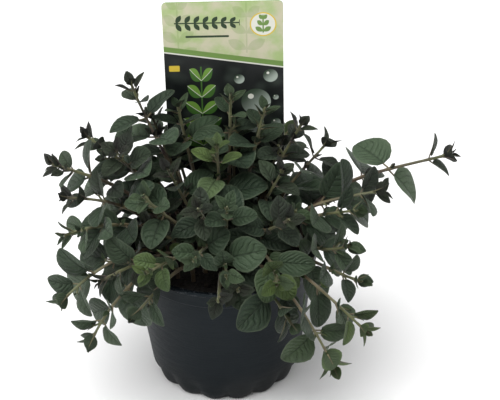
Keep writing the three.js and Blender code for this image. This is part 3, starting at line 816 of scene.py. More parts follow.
class NodeBoard:
    def __init__(self, tree):
        self.tree = tree

    def feed(self, socket, value):
        if isinstance(value, ShaderValue):
            self.tree.links.new(value.socket, socket)
        elif value is not None:
            socket.default_value = value

    # a node with its settings; sockets are fed by their name or number
    def put(self, kind, fed=None, **settings):
        node = self.tree.nodes.new(kind)
        for key, value in settings.items():
            setattr(node, key, value)
        for key, value in (fed or {}).items():
            self.feed(node.inputs[key], value)
        return node

    def values(self, node):
        return {socket.name: ShaderValue(self, socket) for socket in node.outputs}

    def math(self, operation, *numbers):
        node = self.put("ShaderNodeMath", dict(enumerate(numbers)), operation=operation)
        return ShaderValue(self, node.outputs[0])

    # smooth step: 0 below low, 1 above high; a low above high turns it round
    def ramp(self, value, low, high, least=0.0, most=1.0):
        if low > high:
            low, high, least, most = high, low, most, least
        fed = {"Value": value, "From Min": low, "From Max": high, "To Min": least, "To Max": most}
        return self.values(self.put("ShaderNodeMapRange", fed, interpolation_type="SMOOTHSTEP"))["Result"]

    def mix(self, share, first, second):
        node = self.put("ShaderNodeMix", {0: share, 6: first, 7: second}, data_type="RGBA")
        return ShaderValue(self, node.outputs[2])

    # colours laid over one another, each above the first with its share; a look's own go by name
    def layers(self, look, first, *above):
        color = look.get(first, first)
        for share, over in above:
            color = self.mix(share, color, look.get(over, over))
        return color

    # own: a value that gives each leaf a pattern of its own
    def noise(self, vector, scale, detail, rough, own=None):
        fed = {"Vector": vector, "Scale": scale, "Detail": detail, "Roughness": rough}
        if own is not None:
            return self.values(self.put("ShaderNodeTexNoise", dict(fed, W=own), noise_dimensions="4D"))["Fac"]
        return self.values(self.put("ShaderNodeTexNoise", fed))["Fac"]

    def cells(self, vector, scale, feature):
        fed = {"Vector": vector, "Scale": scale}
        return self.values(self.put("ShaderNodeTexVoronoi", fed, feature=feature))

    def stretched(self, vector, scale, turn=(0, 0, 0)):
        fed = {"Vector": vector, "Scale": scale, "Rotation": turn}
        return self.values(self.put("ShaderNodeMapping", fed))["Vector"]

    # the three parts of a vector, XYZ, or of a colour, Color
    def parts(self, kind, whole):
        return tuple(self.values(self.put("ShaderNodeSeparate" + kind, {0: whole})).values())

    def traits(self):
        return self.values(self.put("ShaderNodeAttribute", attribute_name="traits"))

    def group(self, tree, **fed):
        return self.values(self.put("ShaderNodeGroup", fed, node_tree=tree))


# A node group begins with its inputs' first values, None for a vector, and ends with its results.
def newGroup(name, **inputs):
    board = NodeBoard(bpy.data.node_groups.new(name, "ShaderNodeTree"))
    for key, value in inputs.items():
        kind = "NodeSocketVector" if value is None else "NodeSocketFloat"
        board.feed(board.tree.interface.new_socket(key, in_out="INPUT", socket_type=kind), value)
    return board, board.values(board.put("NodeGroupInput"))


def finishGroup(board, **results):
    for key in results:
        board.tree.interface.new_socket(key, in_out="OUTPUT", socket_type="NodeSocketFloat")
    board.put("NodeGroupOutput", results)
    return board.tree


# A material begins with its place on the object and with its grain, whose scales are in cells to the metre.
def newMaterial(name, grainScale, blotchScale):
    material = bpy.data.materials.new(name)
    material.use_nodes = True
    board = NodeBoard(material.node_tree)
    place = board.values(board.put("ShaderNodeTexCoord"))["Object"]
    grain = board.group(grainGroup, Vector=place, GrainScale=grainScale, BlotchScale=blotchScale)
    return material, board, place, grain


# It ends with what changes over the surface, a bump as its height, its depth in metres and its strength, and
# the sockets that have one value all over.
def finishMaterial(material, board, color, roughness, bump, fixed):
    height, depth, strength = bump
    relief = board.put("ShaderNodeBump", {"Strength": strength, "Distance": depth, "Height": height})
    fed = {"Base Color": color, "Roughness": roughness, "Normal": board.values(relief)["Normal"], **fixed}
    for key, value in fed.items():
        board.feed(material.node_tree.nodes["Principled BSDF"].inputs[key], value)
    return material


# Shared by all the materials: a fine grain and soft blotches, both from 0 to 1.
def makeGrainGroup():
    board, given = newGroup("surfaceGrain", Vector=None, GrainScale=900.0, BlotchScale=40.0)
    blotch = board.noise(given["Vector"], given["BlotchScale"], 3.0, 0.5)
    grain = board.noise(given["Vector"], given["GrainScale"], 2.0, 0.6)
    return finishGroup(board, Grain=grain, Blotch=board.ramp(blotch, 0.3, 0.7))


# Veins of a leaf from its map, u from base to tip and v across: side veins leave the midrib and bend
# forward, so their phase is u less a share of a power of the distance from the midrib, and one side is
# nearly half a step ahead. Quilt is the swelling between them, Net the fine cells, and Rim the
# margin, where a painted highlight goes.
def makeVeinGroup():
    board, given = newGroup("leafVeins", Map=None, Veins=5.5, Forward=0.3, Own=0.0)
    u, v, _ = board.parts("XYZ", given["Map"])
    t = abs(v - 0.5) * 2.0
    lean = t**1.2 * given["Forward"]
    wander = board.noise(given["Map"], 3.4, 2.0, 0.5, given["Own"]) * 0.3
    ahead = board.math("GREATER_THAN", v, 0.5) * 0.4
    phase = board.math("FRACT", (u - lean + wander + 1.0) * given["Veins"] + ahead)
    apart = abs(phase - 0.5) * 2.0
    patchy = board.noise(given["Map"], 4.0, 2.0, 0.5, given["Own"] + 5.0)
    fade = board.ramp(t, 0.95, 0.5) * board.ramp(u, 0.9, 0.65) * board.ramp(patchy, 0.38, 0.62, 0.3, 1.0)
    swelling = (1.0 - apart * apart) * board.ramp(patchy, 0.3, 0.66, 0.45, 1.0)
    cells = board.cells(board.stretched(given["Map"], (30, 20, 1)), 1.0, "DISTANCE_TO_EDGE")
    return finishGroup(
        board,
        Vein=board.ramp(apart, 0.82, 0.99) * fade,
        Midrib=board.ramp(t / (0.13 - u * 0.08), 1.0, 0.15),
        Quilt=swelling * board.ramp(t, 1.05, 0.5),
        Net=board.ramp(cells["Distance"], 0.0, 0.16),
        Rim=board.math("MAXIMUM", board.ramp(t, 0.84, 0.97), board.ramp(u, 0.93, 0.99)),
    )


grainGroup = makeGrainGroup()
veinGroup = makeVeinGroup()

# Leaf colours, as linear light: from the youngest to the oldest leaves, and what tints them.
leafLook = {
    "young": (0.086, 0.135, 0.057, 1),
    "grown": (0.039, 0.068, 0.0352, 1),
    "old": (0.0165, 0.032, 0.019, 1),
    # pale green: some leaves at random, and the painted highlight on the swellings between the veins
    "paleAndHighlight": (0.096, 0.14, 0.08, 1),
    "lime": (0.12, 0.185, 0.042, 1),
    "purple": (0.016, 0.0085, 0.0135, 1),
    # painted shade in the sunken veins and in the fine net between them
    "furrowShade": (0.013, 0.02, 0.012, 1),
    # painted highlight along the leaf's margin
    "rim": (0.12, 0.15, 0.095, 1),
    "pale": (0.08, 0.105, 0.065, 1),
    "under": (0.05, 0.07, 0.044, 1),
    "shaded": 0.8,  # how near the darkest leaves come to the old colour, and the palest to the raised one
    "sunlit": 0.6,
    # share of the painted highlight on the swellings between the veins
    "quiltHighlight": 0.24,
    # share of the painted shade in the fine net
    "netShade": 0.18,
    # shares of the vein marks: painted shade on the upper face, paler veins on the lower one
    "ribs": {"Vein": 0.22, "Midrib": 0.42},
    "sideVeins": (4.4, 6.6),
    "forward": (0.3, 0.5),
    "roughness": (0.4, 0.6),
    "relief": 0.0008,
}


# The traits attribute holds each leaf's age, tone, blush and, on its lower face, how far it is underneath.
# Fractions of the tone's multiples give a leaf more values of its own.
def makeLeafMaterial(look):
    material, board, _, grain = newMaterial("mintLeaf", 1500.0, 90.0)
    traits = board.traits()
    age, tone, blush = board.parts("Color", traits["Color"])
    under, upper = traits["Alpha"], 1.0 - traits["Alpha"]
    veins = board.group(
        veinGroup,
        Map=board.values(board.put("ShaderNodeUVMap", uv_map="leafMap"))["UV"],
        Veins=board.ramp(tone, 0.0, 1.0, *look["sideVeins"]),
        Forward=board.ramp(board.math("FRACT", tone * 7.0), 0.0, 1.0, *look["forward"]),
        Own=tone * 60.0,
    )
    shade = board.math("FRACT", tone * 13.0)
    ribs = board.math("MAXIMUM", *(veins[key] * share for key, share in look["ribs"].items()))
    nearBase = board.ramp(veins["Midrib"] + veins["Vein"], 0.2, 1.0, 0.75, 1.0)
    color = board.layers(
        look,
        "young",
        (board.ramp(age, 0.15, 0.6), "grown"),
        (board.ramp(age, 0.45, 0.95) * tone, "old"),
        (board.ramp(shade, 0.0, 0.6, look["shaded"], 0.0), "old"),
        (board.ramp(shade, 0.65, 1.0, 0.0, look["sunlit"]), "paleAndHighlight"),
        (board.ramp(tone, 0.8, 0.92) * board.ramp(age, 0.85, 0.35), "lime"),
        (grain["Blotch"] * 0.3, "grown"),
        # painted highlight on the swellings of the upper face
        (veins["Quilt"] * look["quiltHighlight"] * upper, "paleAndHighlight"),
        # painted shade in the sunken net and veins of the upper face
        ((1.0 - veins["Net"]) * look["netShade"] * upper, "furrowShade"),
        (ribs * upper, "furrowShade"),
        (under * 0.7, "under"),
        (ribs * under, "pale"),
        (blush * board.ramp(grain["Blotch"], -0.4, 1.0, 0.7, 1.0) * nearBase, "purple"),
        # painted highlight along the margin, weaker on purple leaves
        (veins["Rim"] * board.ramp(blush, 1.0, 0.3, 0.1, 0.42), "rim"),
    )
    sunken = board.math("MAXIMUM", veins["Vein"], veins["Midrib"]) * -0.7
    height = veins["Quilt"] + sunken + veins["Net"] * 0.3 + grain["Grain"] * 0.12
    roughness = board.ramp(grain["Grain"], 0.3, 0.7, *look["roughness"])
    bump = (height, look["relief"], 0.9)
    return finishMaterial(material, board, color, roughness, bump, {"Specular IOR Level": 0.25})


stemLook = {
    "young": (0.115, 0.128, 0.05, 1),
    "grown": (0.15, 0.112, 0.058, 1),
    "purple": (0.045, 0.026, 0.028, 1),
    "relief": 0.0003,
}


# Stems: yellow-green when young, tan lower down, and flushed with purple along some of their sides.
def makeStemMaterial(look):
    material, board, _, grain = newMaterial("mintStem", 1800.0, 120.0)
    age, tone, blush = board.parts("Color", board.traits()["Color"])
    flushed = (blush + tone * 0.2) * grain["Blotch"]
    color = board.layers(look, "young", (board.ramp(age, 0.1, 0.8), "grown"), (flushed, "purple"))
    roughness = board.ramp(grain["Grain"], 0.2, 0.8, 0.45, 0.65)
    bump = (grain["Grain"] + grain["Blotch"], look["relief"], 0.6)
    return finishMaterial(material, board, color, roughness, bump, {"Sheen Weight": 0.15})


leafMaterial = makeLeafMaterial(leafLook)
stemMaterial = makeStemMaterial(stemLook)
print("leaf and stem materials made")


# A piece is closed surfaces of quads, gathered and made one mesh.
class Piece:
    def __init__(self, name, materials):
        self.name, self.materials = name, materials
        self.points, self.quads, self.maps, self.traits, self.slots = [], [], [], [], []
        self.count = 0

    # points in millimetres; the map and the traits have a row for each point
    def add(self, points, quads, leafMap=None, traits=(0, 0, 0, 0), slot=0):
        points = points.reshape(-1, 3)
        self.points.append(points * mm)
        self.quads.append(quads + self.count)
        self.maps.append(np.zeros((len(points), 2)) if leafMap is None else leafMap.reshape(-1, 2))
        self.traits.append(np.broadcast_to(np.asarray(traits, float), (len(points), 4)))
        self.slots.append(np.full(len(quads), slot))
        self.count += len(points)

    def make(self, sharpAngle, node):
        quads = np.concatenate(self.quads)
        mesh = bpy.data.meshes.new(self.name)
        mesh.from_pydata(np.concatenate(self.points).tolist(), [], quads.tolist())
        mesh.polygons.foreach_set("material_index", np.concatenate(self.slots).astype(np.int32))
        mesh.polygons.foreach_set("use_smooth", np.ones(len(quads), bool))
        leafMap = mesh.uv_layers.new(name="leafMap")
        leafMap.data.foreach_set("uv", np.concatenate(self.maps)[quads.ravel()].astype(np.float32).ravel())
        traits = mesh.attributes.new("traits", "FLOAT_COLOR", "POINT")
        traits.data.foreach_set("color", np.concatenate(self.traits).astype(np.float32).ravel())
        mesh.set_sharp_from_angle(angle=math.radians(sharpAngle))
        for material in self.materials:
            mesh.materials.append(material)
        mesh.update()
        piece = newObject(self.name, mesh)
        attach(piece, "root")
        if node:
            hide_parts(node)


# The quads of a grid of points, whose last column may join its first.
def gridQuads(rows, columns, joined=False):
    index = np.arange(rows * columns).reshape(rows, columns)
    after = np.roll(index, -1, axis=1) if joined else index[:, 1:]
    here = index if joined else index[:, :-1]
    return np.stack([here[:-1], after[:-1], after[1:], here[1:]], axis=-1).reshape(-1, 4)


# The quads that close a ring of an even number of points, laid across it as a ladder.
def capQuads(ring):
    n = len(ring)
    k = np.arange(n // 2 - 1)
    return np.stack([ring[-k % n], ring[k + 1], ring[k + 2], ring[(-k - 1) % n]], axis=-1)


# A tube of rings, closed at both ends.
def tubeQuads(rows, columns):
    first, last = np.arange(columns), np.arange(columns) + (rows - 1) * columns
    return np.concatenate([gridQuads(rows, columns, True), capQuads(first)[:, ::-1], capQuads(last)])


leafForm = {
    "rows": 9,
    "columns": 6,
    "thickness": 0.32,
    "tipEnd": 0.994,
    "lobe": 0.07,  # how far the base's lobes reach back beside the petiole
    "lobeEnd": 0.35,  # and the share of the blade where they end
    "puff": 0.05,
    "waviness": 0.03,
    "ribStations": 7,
    "ribSides": 6,
    "ribFoot": 0.9,  # how far the petiole reaches into its stem
    "ribRange": (0.08, 0.82),
    "ribEnd": 0.85,
    "ribHalf": (0.34, 0.3),  # the least, and what the longest leaf adds
    "ribThinning": 0.8,
    "ribSunk": 0.75,
}


# The blade: rows closer at its base and tip. Upper face: the leaf's own surface, lifted by half the
# thickness times 1 - t squared, and puffed up by puff * half * |sin| between midrib and margin. The lower
# face is the same less the thickness, and shares the upper one's margin.
def addBlade(piece, at, traits):
    rows, columns = leafForm["rows"], leafForm["columns"]
    u = (1 - np.cos(np.pi * np.linspace(0, 1, rows + 1) ** 0.9)) / 2 * leafForm["tipEnd"]
    u, t = np.meshgrid(u, np.linspace(-1, 1, columns + 1), indexing="ij")
    full = bladeShape(u, at["outline"])
    back = leafForm["lobe"] * t * t * full * np.clip(1 - u / leafForm["lobeEnd"], 0, 1) ** 2
    s = leaf["petiole"] + (1 - leaf["petiole"]) * u
    half = leafHalfWidth(at, s) * (1 + leafForm["waviness"] * np.sin(9 * u + 40 * traits[1]) * t * t)
    puff = leafForm["puff"] * at["half"] * np.sin(np.pi * abs(t)) * full
    body = leafForm["thickness"] / 2 * (1 - t * t) * np.sin(np.pi * np.clip(u, 0.02, 0.98)) ** 0.3
    upper = leafPoint(at, s - back, t, half, puff + body)
    lower = leafPoint(at, s - back, t, half, puff - body)
    inner = np.zeros(u.shape, bool)
    inner[1:-1, 1:-1] = True
    lowerIndex = np.arange(u.size).reshape(u.shape)
    lowerIndex[inner] = u.size + np.arange(inner.sum())
    top = gridQuads(rows + 1, columns + 1)
    bottom = lowerIndex.ravel()[top]
    leafMap = np.stack([u, (t + 1) / 2], axis=-1)
    points = np.concatenate([upper.reshape(-1, 3), lower[inner]])
    maps = np.concatenate([leafMap.reshape(-1, 2), leafMap[inner]])
    given = np.tile(np.asarray(traits, float), (len(points), 1))
    given[u.size :, 3] = 1
    piece.add(points, np.concatenate([top, bottom[:, ::-1]]), maps, given, 0)


# The petiole and the midrib under the blade: a round profile along the leaf's middle, which thins out.
def addRib(piece, at, traits):
    stations, sides = leafForm["ribStations"], leafForm["ribSides"]
    size = at["length"] / leaf["longest"]
    along = np.linspace(*leafForm["ribRange"], stations - 2)
    s = np.concatenate([[-leafForm["ribFoot"] / at["length"], 0], along])
    thin = np.clip((s - leaf["petiole"]) / (leafForm["ribEnd"] - leaf["petiole"]), 0, 1)
    least, more = leafForm["ribHalf"]
    radius = (least + more * size) * (1 - leafForm["ribThinning"] * thin)
    sunk = np.clip(s / leaf["petiole"], 0, 1) * radius * leafForm["ribSunk"]
    middle = leafPoint(at, s, 0 * s, 0 * s, -sunk)
    turn = 2 * np.pi * np.arange(sides) / sides
    ring = at["sideways"] * np.cos(turn)[:, None] + at["facing"] * np.sin(turn)[:, None]
    points = middle[:, None] + ring[None] * radius[:, None, None]
    given = (0.25 + 0.5 * size, traits[1], min(traits[2] + 0.25, 1), 0)
    piece.add(points, tubeQuads(stations, sides)[:, ::-1], None, given, 1)


stemForm = {
    "sides": 12,
    "squareness": 5.0,
    "nodeSwell": 0.28,
    "nodeReach": 1.8,
    "slimmer": 0.16,
    "tipFrom": 0.985,  # from this share of its path the stem narrows to its end
    "tip": 0.6,
    "buried": 9.0,
    "agedAt": 70.0,  # the distance from its tip where a stem looks fully grown
    "agedBlush": 0.25,
    "shootRows": 16,
}


# The stem: a rounded square carried along its path, half wide, swollen where leaf pairs sit. The square's
# radius at an angle is (|cos|^n + |sin|^n)^(-1/n).
def addStemTube(piece, one, blush, tone, rows, buried):
    sides, n = stemForm["sides"], stemForm["squareness"]
    turn = 2 * np.pi * (np.arange(sides) + 0.5) / sides
    square = (abs(np.cos(turn)) ** n + abs(np.sin(turn)) ** n) ** (-1 / n)
    t = np.linspace(0, 1, rows)
    place = np.rint(t * growth["pathSteps"]).astype(int)
    frames = np.array(one["frames"])[place]
    half = ((1 - t) * one["half"][0] + t * one["half"][1]) * (1 - stemForm["slimmer"] * t)
    fromTip = np.interp(t, np.linspace(0, 1, growth["pathSteps"] + 1), one["fromTip"][::-1])
    for at in {at["pair"]: at for at in one["leaves"]}.values():
        apart = np.linalg.norm(pathPoint(one["path"], t) - at["root"], axis=1)
        half = half * (1 + stemForm["nodeSwell"] * np.exp(-((apart / stemForm["nodeReach"]) ** 2)))
    half = half * np.where(t > stemForm["tipFrom"], stemForm["tip"], 1)
    middle = pathPoint(one["path"], t)
    if buried:
        middle = np.concatenate([[middle[0] - upVector * stemForm["buried"]], middle])
        half, fromTip = np.concatenate([[half[0]], half]), np.concatenate([[fromTip[0]], fromTip])
        frames = np.concatenate([frames[:1], frames])
    across, over = frames[:, 1, None], frames[:, 2, None]
    outward = across * (square * np.cos(turn))[:, None] + over * (square * np.sin(turn))[:, None]
    points = middle[:, None] + outward * half[:, None, None]
    age = np.clip(fromTip / stemForm["agedAt"], 0, 1)
    flushed = np.clip(blush + stemForm["agedBlush"] * age, 0, 1)
    given = np.stack([age, age * 0 + tone, flushed, age * 0], axis=-1)
    piece.add(points, tubeQuads(len(middle), sides), None, np.repeat(given, sides, axis=0), 1)


growthTints = {
    "seed": 90125,
    "purpleShare": 0.19,
    "limeShare": 0.04,
    "limeFade": 0.07,  # how much greener a stem's largest leaves are than its lime tips
    "purpleStems": ["left_round", "left_long", "left_low", "top_left", "upper_left"]
    + ["right_long", "right_dark", "right_bud"],
    "limeStems": ["front_left", "front_right", "right_lowest", "right_hanging", "centre"],
    "blushUpTo": (0.2, 0.78),  # of the longest leaf: the tint fades between these sizes
    "plainTones": (0, 0.78),
    "limeTones": (0.84, 1),
    "purpleBlush": (0.75, 1.35),
    "plainBlush": (0, 0.2),
    "purpleStemBlush": (0.3, 0.8),
    "plainStemBlush": (0, 0.35),
}


# Every stem has one habit: purple tips, lime tips or plain green ones.
def habitOf(one, draws):
    name = one["name"].removeprefix("stem_")
    chance = draws.between(0, 1)
    if name in growthTints["purpleStems"]:
        return "purple"
    if name in growthTints["limeStems"]:
        return "lime"
    if chance < growthTints["purpleShare"]:
        return "purple"
    return "lime" if chance > 1 - growthTints["limeShare"] else "green"


# Large leaves lose the tint of their stem.
def leafTraits(at, habit, draws):
    size = min(at["length"] / leaf["longest"], 1)
    start, end = growthTints["blushUpTo"]
    faded = eased(min(max((size - start) / (end - start), 0), 1))
    tone = draws.between(*growthTints["limeTones" if habit == "lime" else "plainTones"])
    if habit == "lime":
        tone = tone - growthTints["limeFade"] * faded
    blush = draws.between(*growthTints["purpleBlush" if habit == "purple" else "plainBlush"])
    if habit == "purple":
        blush = blush * (1 - faded)
    return (size, tone, min(blush, 1), 0)


def addGrowth(piece, one, habit, draws, rows, buried):
    blush = draws.between(*growthTints["purpleStemBlush" if habit == "purple" else "plainStemBlush"])
    addStemTube(piece, one, blush, draws.between(0, 1), rows, buried)
    for at in one["leaves"]:
        traits = leafTraits(at, habit, draws)
        addBlade(piece, at, traits)
        addRib(piece, at, traits)


def makeLeafyStems():
    draws = Draws(growthTints["seed"])
    for one in stems:
        habit = habitOf(one, draws)
        piece = Piece("leafy" + one["name"][4:], [leafMaterial, stemMaterial])
        addGrowth(piece, one, habit, draws, growth["pathSteps"] + 1, True)
        for shoot in shoots:
            if shoot["parent"] == one["name"]:
                addGrowth(piece, shoot, habit, draws, stemForm["shootRows"], False)
        piece.make(55, one["name"])


makeLeafyStems()
print("leafy stems made")

# The pot.
potForm = {
    "columnsPerScallop": 12,
    "footHeights": (0, 0.3, 0.9, 1.8, 3, 4.5, 6, 7.5, 9, 11, 13, 15),
    "wallFrom": 18,
    "wallRows": 12,
    "belowCollar": 0.8,  # how far under the collar the wall ends
    "collarFoot": [(-0.35, -0.1), (-0.1, 0.3), (0, 1)],  # rounded steps: past the collar's radius, and up
    "lipFoot": [(0, -0.4), (0.15, -0.05)],
    "lipRound": 0.5,
    "lipTaper": 0.1,
    "collarInset": 0.3,
    "insideHeights": (60, 40, 20, 15, 8, 4, 2.6),
    "floorRound": 1.5,
    "middle": 0.6,  # the radius of the floor's smallest ring
}


# The straight taper: from the foot's radius at 0 to the top's under the collar, in proportion to height.
def wallRadius(z):
    top = pot["height"] - pot["collarHeight"]
    return pot["wallFootRadius"] + (pot["wallTopRadius"] - pot["wallFootRadius"]) * z / top


# The wall's outside: a straight taper that rounds in to the foot over its last few millimetres.
def outsideRadius(z):
    t = 1 - np.minimum(z / pot["footCorner"], 1)
    return wallRadius(z) - (wallRadius(0) - pot["footRadius"]) * (1 - np.sqrt(1 - t * t))


# Lobes with sharp flutes between them: the depth fades with height, and |sin| leaves a cusp.
def scallop(angle, z):
    lobe = abs(np.sin(pot["scallops"] * angle / 2))
    return -pot["scallopDepth"] * np.clip(1 - z / pot["scallopHeight"], 0, 1) * (1 - lobe)


# A quarter turn of a rounded edge between two angles, as radius and height pairs.
def roundedEdge(r, z, radius, start, end, steps=4):
    turn = np.radians(np.linspace(start, end, steps))
    return list(zip(r + radius * np.cos(turn), z + radius * np.sin(turn)))


# The section, as radius and height pairs: up the wall, out to the collar, round the lip and down inside.
def potProfile():
    top, step, w, e = pot["height"], pot["height"] - pot["collarHeight"], pot["wall"], potForm["lipRound"]
    collar, rim, lipUnder = pot["collarRadius"], pot["rimRadius"], pot["height"] - pot["lipHeight"]
    wallHeights = np.linspace(potForm["wallFrom"], step - potForm["belowCollar"], potForm["wallRows"])
    profile = [(outsideRadius(z), z) for z in (*potForm["footHeights"], *wallHeights)]
    profile += [(collar + out, step + up) for out, up in potForm["collarFoot"]]
    profile += [(collar + out, lipUnder + up) for out, up in potForm["lipFoot"]]
    profile += roundedEdge(rim - e, lipUnder + e, e, -90, 0)
    profile += roundedEdge(rim - e - potForm["lipTaper"], top - e, e, 0, 90)
    profile += roundedEdge(collar - w + e, top - e, e, 90, 180)
    profile += [(collar - w - potForm["collarInset"], step), (wallRadius(step - 1) - w, step - 1)]
    profile += [(outsideRadius(z) - w, z) for z in potForm["insideHeights"]]
    return np.array(profile + [(pot["footRadius"] - w - potForm["floorRound"], pot["floor"])])


# Points on rings round the axis, from radii, angles and heights.
def ringPoints(r, angle, z):
    return np.stack([r * np.cos(angle), r * np.sin(angle), z + 0 * r], axis=-1)


# A profile turned round the axis, with rings for the drain slots in its floor. The slots leave out
# quads of the floor's two faces, and walls join the edges left by them.
def makePot():
    columns = pot["scallops"] * potForm["columnsPerScallop"]
    under = np.array([(r, 0) for r in (potForm["middle"], pot["drainInner"], pot["drainOuter"])])
    profile = np.concatenate([under, potProfile(), under[::-1] + (0, pot["floor"])])
    angle = 2 * np.pi * np.arange(columns) / columns
    r, z = profile[:, :1], profile[:, 1:]
    points = ringPoints(r + scallop(angle[None], z) * (r > pot["drainOuter"] + 1), angle, z)
    rows = len(profile)
    quads = gridQuads(rows, columns, True).reshape(rows - 1, columns, 4)
    halfTurn = pot["drainWidth"] / (pot["drainInner"] + pot["drainOuter"])
    between = 2 * np.pi / pot["drainSlots"]
    fromSlot = (angle - between / 2) % between
    fromSlot = np.minimum(fromSlot, between - fromSlot)
    isSlot = (fromSlot < halfTurn) & (np.roll(fromSlot, -1) < halfTurn)
    keep = np.ones((rows - 1, columns), bool)
    keep[1], keep[rows - 3] = ~isSlot, ~isSlot
    index = np.arange(rows * columns).reshape(rows, columns)
    low, high = index[1:3], index[rows - 2 : rows - 4 : -1]

    def wall(ring, here, nextRing, there):
        corners = (low[ring, here], low[nextRing, there], high[nextRing, there], high[ring, here])
        return np.stack(corners, axis=-1)

    slots = np.flatnonzero(isSlot)
    beside = (slots + 1) % columns
    starts, ends = slots[~isSlot[slots - 1]], beside[~isSlot[beside]]
    walls = [wall(0, slots, 0, beside), wall(1, beside, 1, slots)]
    walls += [wall(1, starts, 0, starts), wall(0, ends, 1, ends)]
    piece = Piece("nursery_pot", [makePotMaterial(potLook)])
    piece.add(points, np.concatenate([quads[keep], *walls, capQuads(index[0])[:, ::-1], capQuads(index[-1])]))
    piece.make(38, "pot")


potLook = {
    "black": (0.0024, 0.0036, 0.0048, 1),
    # paler where rubbed, and also the painted highlight along the top of the lip
    "wearAndLipHighlight": (0.0085, 0.011, 0.0135, 1),
    # light scratches on the lip, which also stand for its painted highlight
    "scratchAndGlint": (0.09, 0.095, 0.1, 1),
    "dust": (0.06, 0.052, 0.042, 1),
    "dustUpTo": 0.03,
    "ringSpacing": 0.0022,
    "roughness": (0.42, 0.6),
    "lipGloss": 0.26,
    "relief": 0.00012,
}


# Matte recycled plastic: near black, a little paler where it rubs, with moulding rings and dust low down.
# Along the top of the lip, a paler band is a painted highlight, and light scratch streaks are partly real
# scratches and partly painted highlight.
def makePotMaterial(look):
    material, board, place, grain = newMaterial("nurseryPlastic", 1400.0, 28.0)
    height = board.parts("XYZ", place)[2]
    lipHeight = (pot["height"] - pot["lipHeight"]) * mm
    onLip = board.ramp(height, lipHeight - 0.4 * mm, lipHeight)
    scuffs = board.noise(board.stretched(place, (1, 1, 9)), 60.0, 4.0, 0.7)
    lipScratchGlints = board.noise(board.stretched(place, (1, 1, 4)), 260.0, 3.0, 0.7)
    color = board.layers(
        look,
        "black",
        (grain["Blotch"] * 0.35, "wearAndLipHighlight"),
        (board.ramp(scuffs, 0.55, 0.75) * 0.5, "wearAndLipHighlight"),
        # painted highlight: the lip paler towards its top
        (board.ramp(height, lipHeight, pot["height"] * mm, 0.0, 0.35), "wearAndLipHighlight"),
        (board.ramp(height, look["dustUpTo"], 0.0) * grain["Blotch"] * 0.25, "dust"),
        # light scratch streaks on the lip, partly real scratches and partly painted highlight
        (board.ramp(lipScratchGlints, 0.56, 0.68) * onLip * 0.6, "scratchAndGlint"),
    )
    rough = board.ramp(grain["Grain"] * 0.4 + scuffs * 0.6, 0.3, 0.7, *look["roughness"])
    rings = board.math("SINE", height * (2 * math.pi / look["ringSpacing"]))
    bump = (grain["Grain"] + rings * 0.06, look["relief"], 0.7)
    fixed = {"Specular IOR Level": 0.15, "Specular Tint": (0.72, 0.9, 1.0, 1)}
    return finishMaterial(material, board, color, rough - onLip * look["lipGloss"], bump, fixed)


makePot()
print("pot made")

# The soil.
soilForm = {
    "seed": 61,
    "rings": 30,
    "columns": 96,
    "middle": 0.5,
    "lumps": 1.6,
    "lumpShares": {7.0: 1, 3.2: 0.5, 1.9: 0.3},  # for each size of lump
    "settled": 0.6,  # the share of all its heights that is left
    "topGap": 0.3,  # between the bed and the pot
    "gap": 0.4,
    "edge": (6, 1.2),  # the width and the depth of the dip round its edge
    "crumbs": 900,
    "crumbSize": (0.5, 2.2),
    "crumbCorners": (0.55, 0.45),  # the least share of a corner's reach, and what chance adds to it
    "crumbStretch": (0.4, 0.6),
}


# Smooth random heights: values at the corners of a square grid, eased between by 3t^2 - 2t^3.
def lumpHeight(x, y, size, dice):
    grid = dice.random((64, 64)) * 2 - 1
    gx, gy = x / size + 32, y / size + 32
    ix, iy = np.floor(gx).astype(int), np.floor(gy).astype(int)
    fx, fy = eased(gx - ix), eased(gy - iy)
    ix, iy = ix % 63, iy % 63
    low = grid[ix, iy] * (1 - fx) + grid[ix + 1, iy] * fx
    high = grid[ix, iy + 1] * (1 - fx) + grid[ix + 1, iy + 1] * fx
    return low * (1 - fy) + high * fy


# The height of the bed: low waves, sin(x) * sin(y), and lumps of three sizes.
def soilSurface(x, y):
    dice = np.random.default_rng(soilForm["seed"])
    ripple = soil["rippleHeight"] * np.sin(x * 0.21 + 1) * np.sin(y * 0.17 + 2)
    lumps = sum(share * lumpHeight(x, y, size, dice) for size, share in soilForm["lumpShares"].items())
    settled = soilForm["settled"]
    return soil["top"] + settled * ripple + soilForm["lumps"] * settled * lumps


# The bed: rings outwards over its lumpy top, then down the pot's inside to the floor, closed there.
def makeSoil():
    columns, bottom = soilForm["columns"], pot["floor"] + soilForm["gap"]
    angle = 2 * np.pi * np.arange(columns) / columns
    reach = wallRadius(soil["top"]) - pot["wall"] - soilForm["topGap"]
    r = np.linspace(soilForm["middle"], reach - 0.8, soilForm["rings"])[:, None] + 0 * angle
    edge, dip = soilForm["edge"]
    top = soilSurface(r * np.cos(angle), r * np.sin(angle)) - dip * np.clip((r - reach + edge) / edge, 0, 1)
    heights = np.array([soil["top"] - 4, 60, 40, 20, pot["scallopHeight"], 6, bottom])[:, None] + 0 * angle
    fluted = scallop(angle, heights) * (heights < soil["top"] - 10)
    wall = outsideRadius(heights) - pot["wall"] - soilForm["gap"] + fluted
    middle = np.full((1, columns), soilForm["middle"])
    r, z = np.concatenate([r, wall, middle]), np.concatenate([top, heights, middle * 0 + bottom])
    index = np.arange(len(r) * columns).reshape(-1, columns)
    quads = gridQuads(len(r), columns, True)[:, ::-1]
    caps = [capQuads(index[0]), capQuads(index[-1])[:, ::-1]]
    piece = Piece("potting_soil", [soilMaterial])
    piece.add(ringPoints(r, angle, z), np.concatenate([quads, *caps]))
    piece.make(60, "soil")


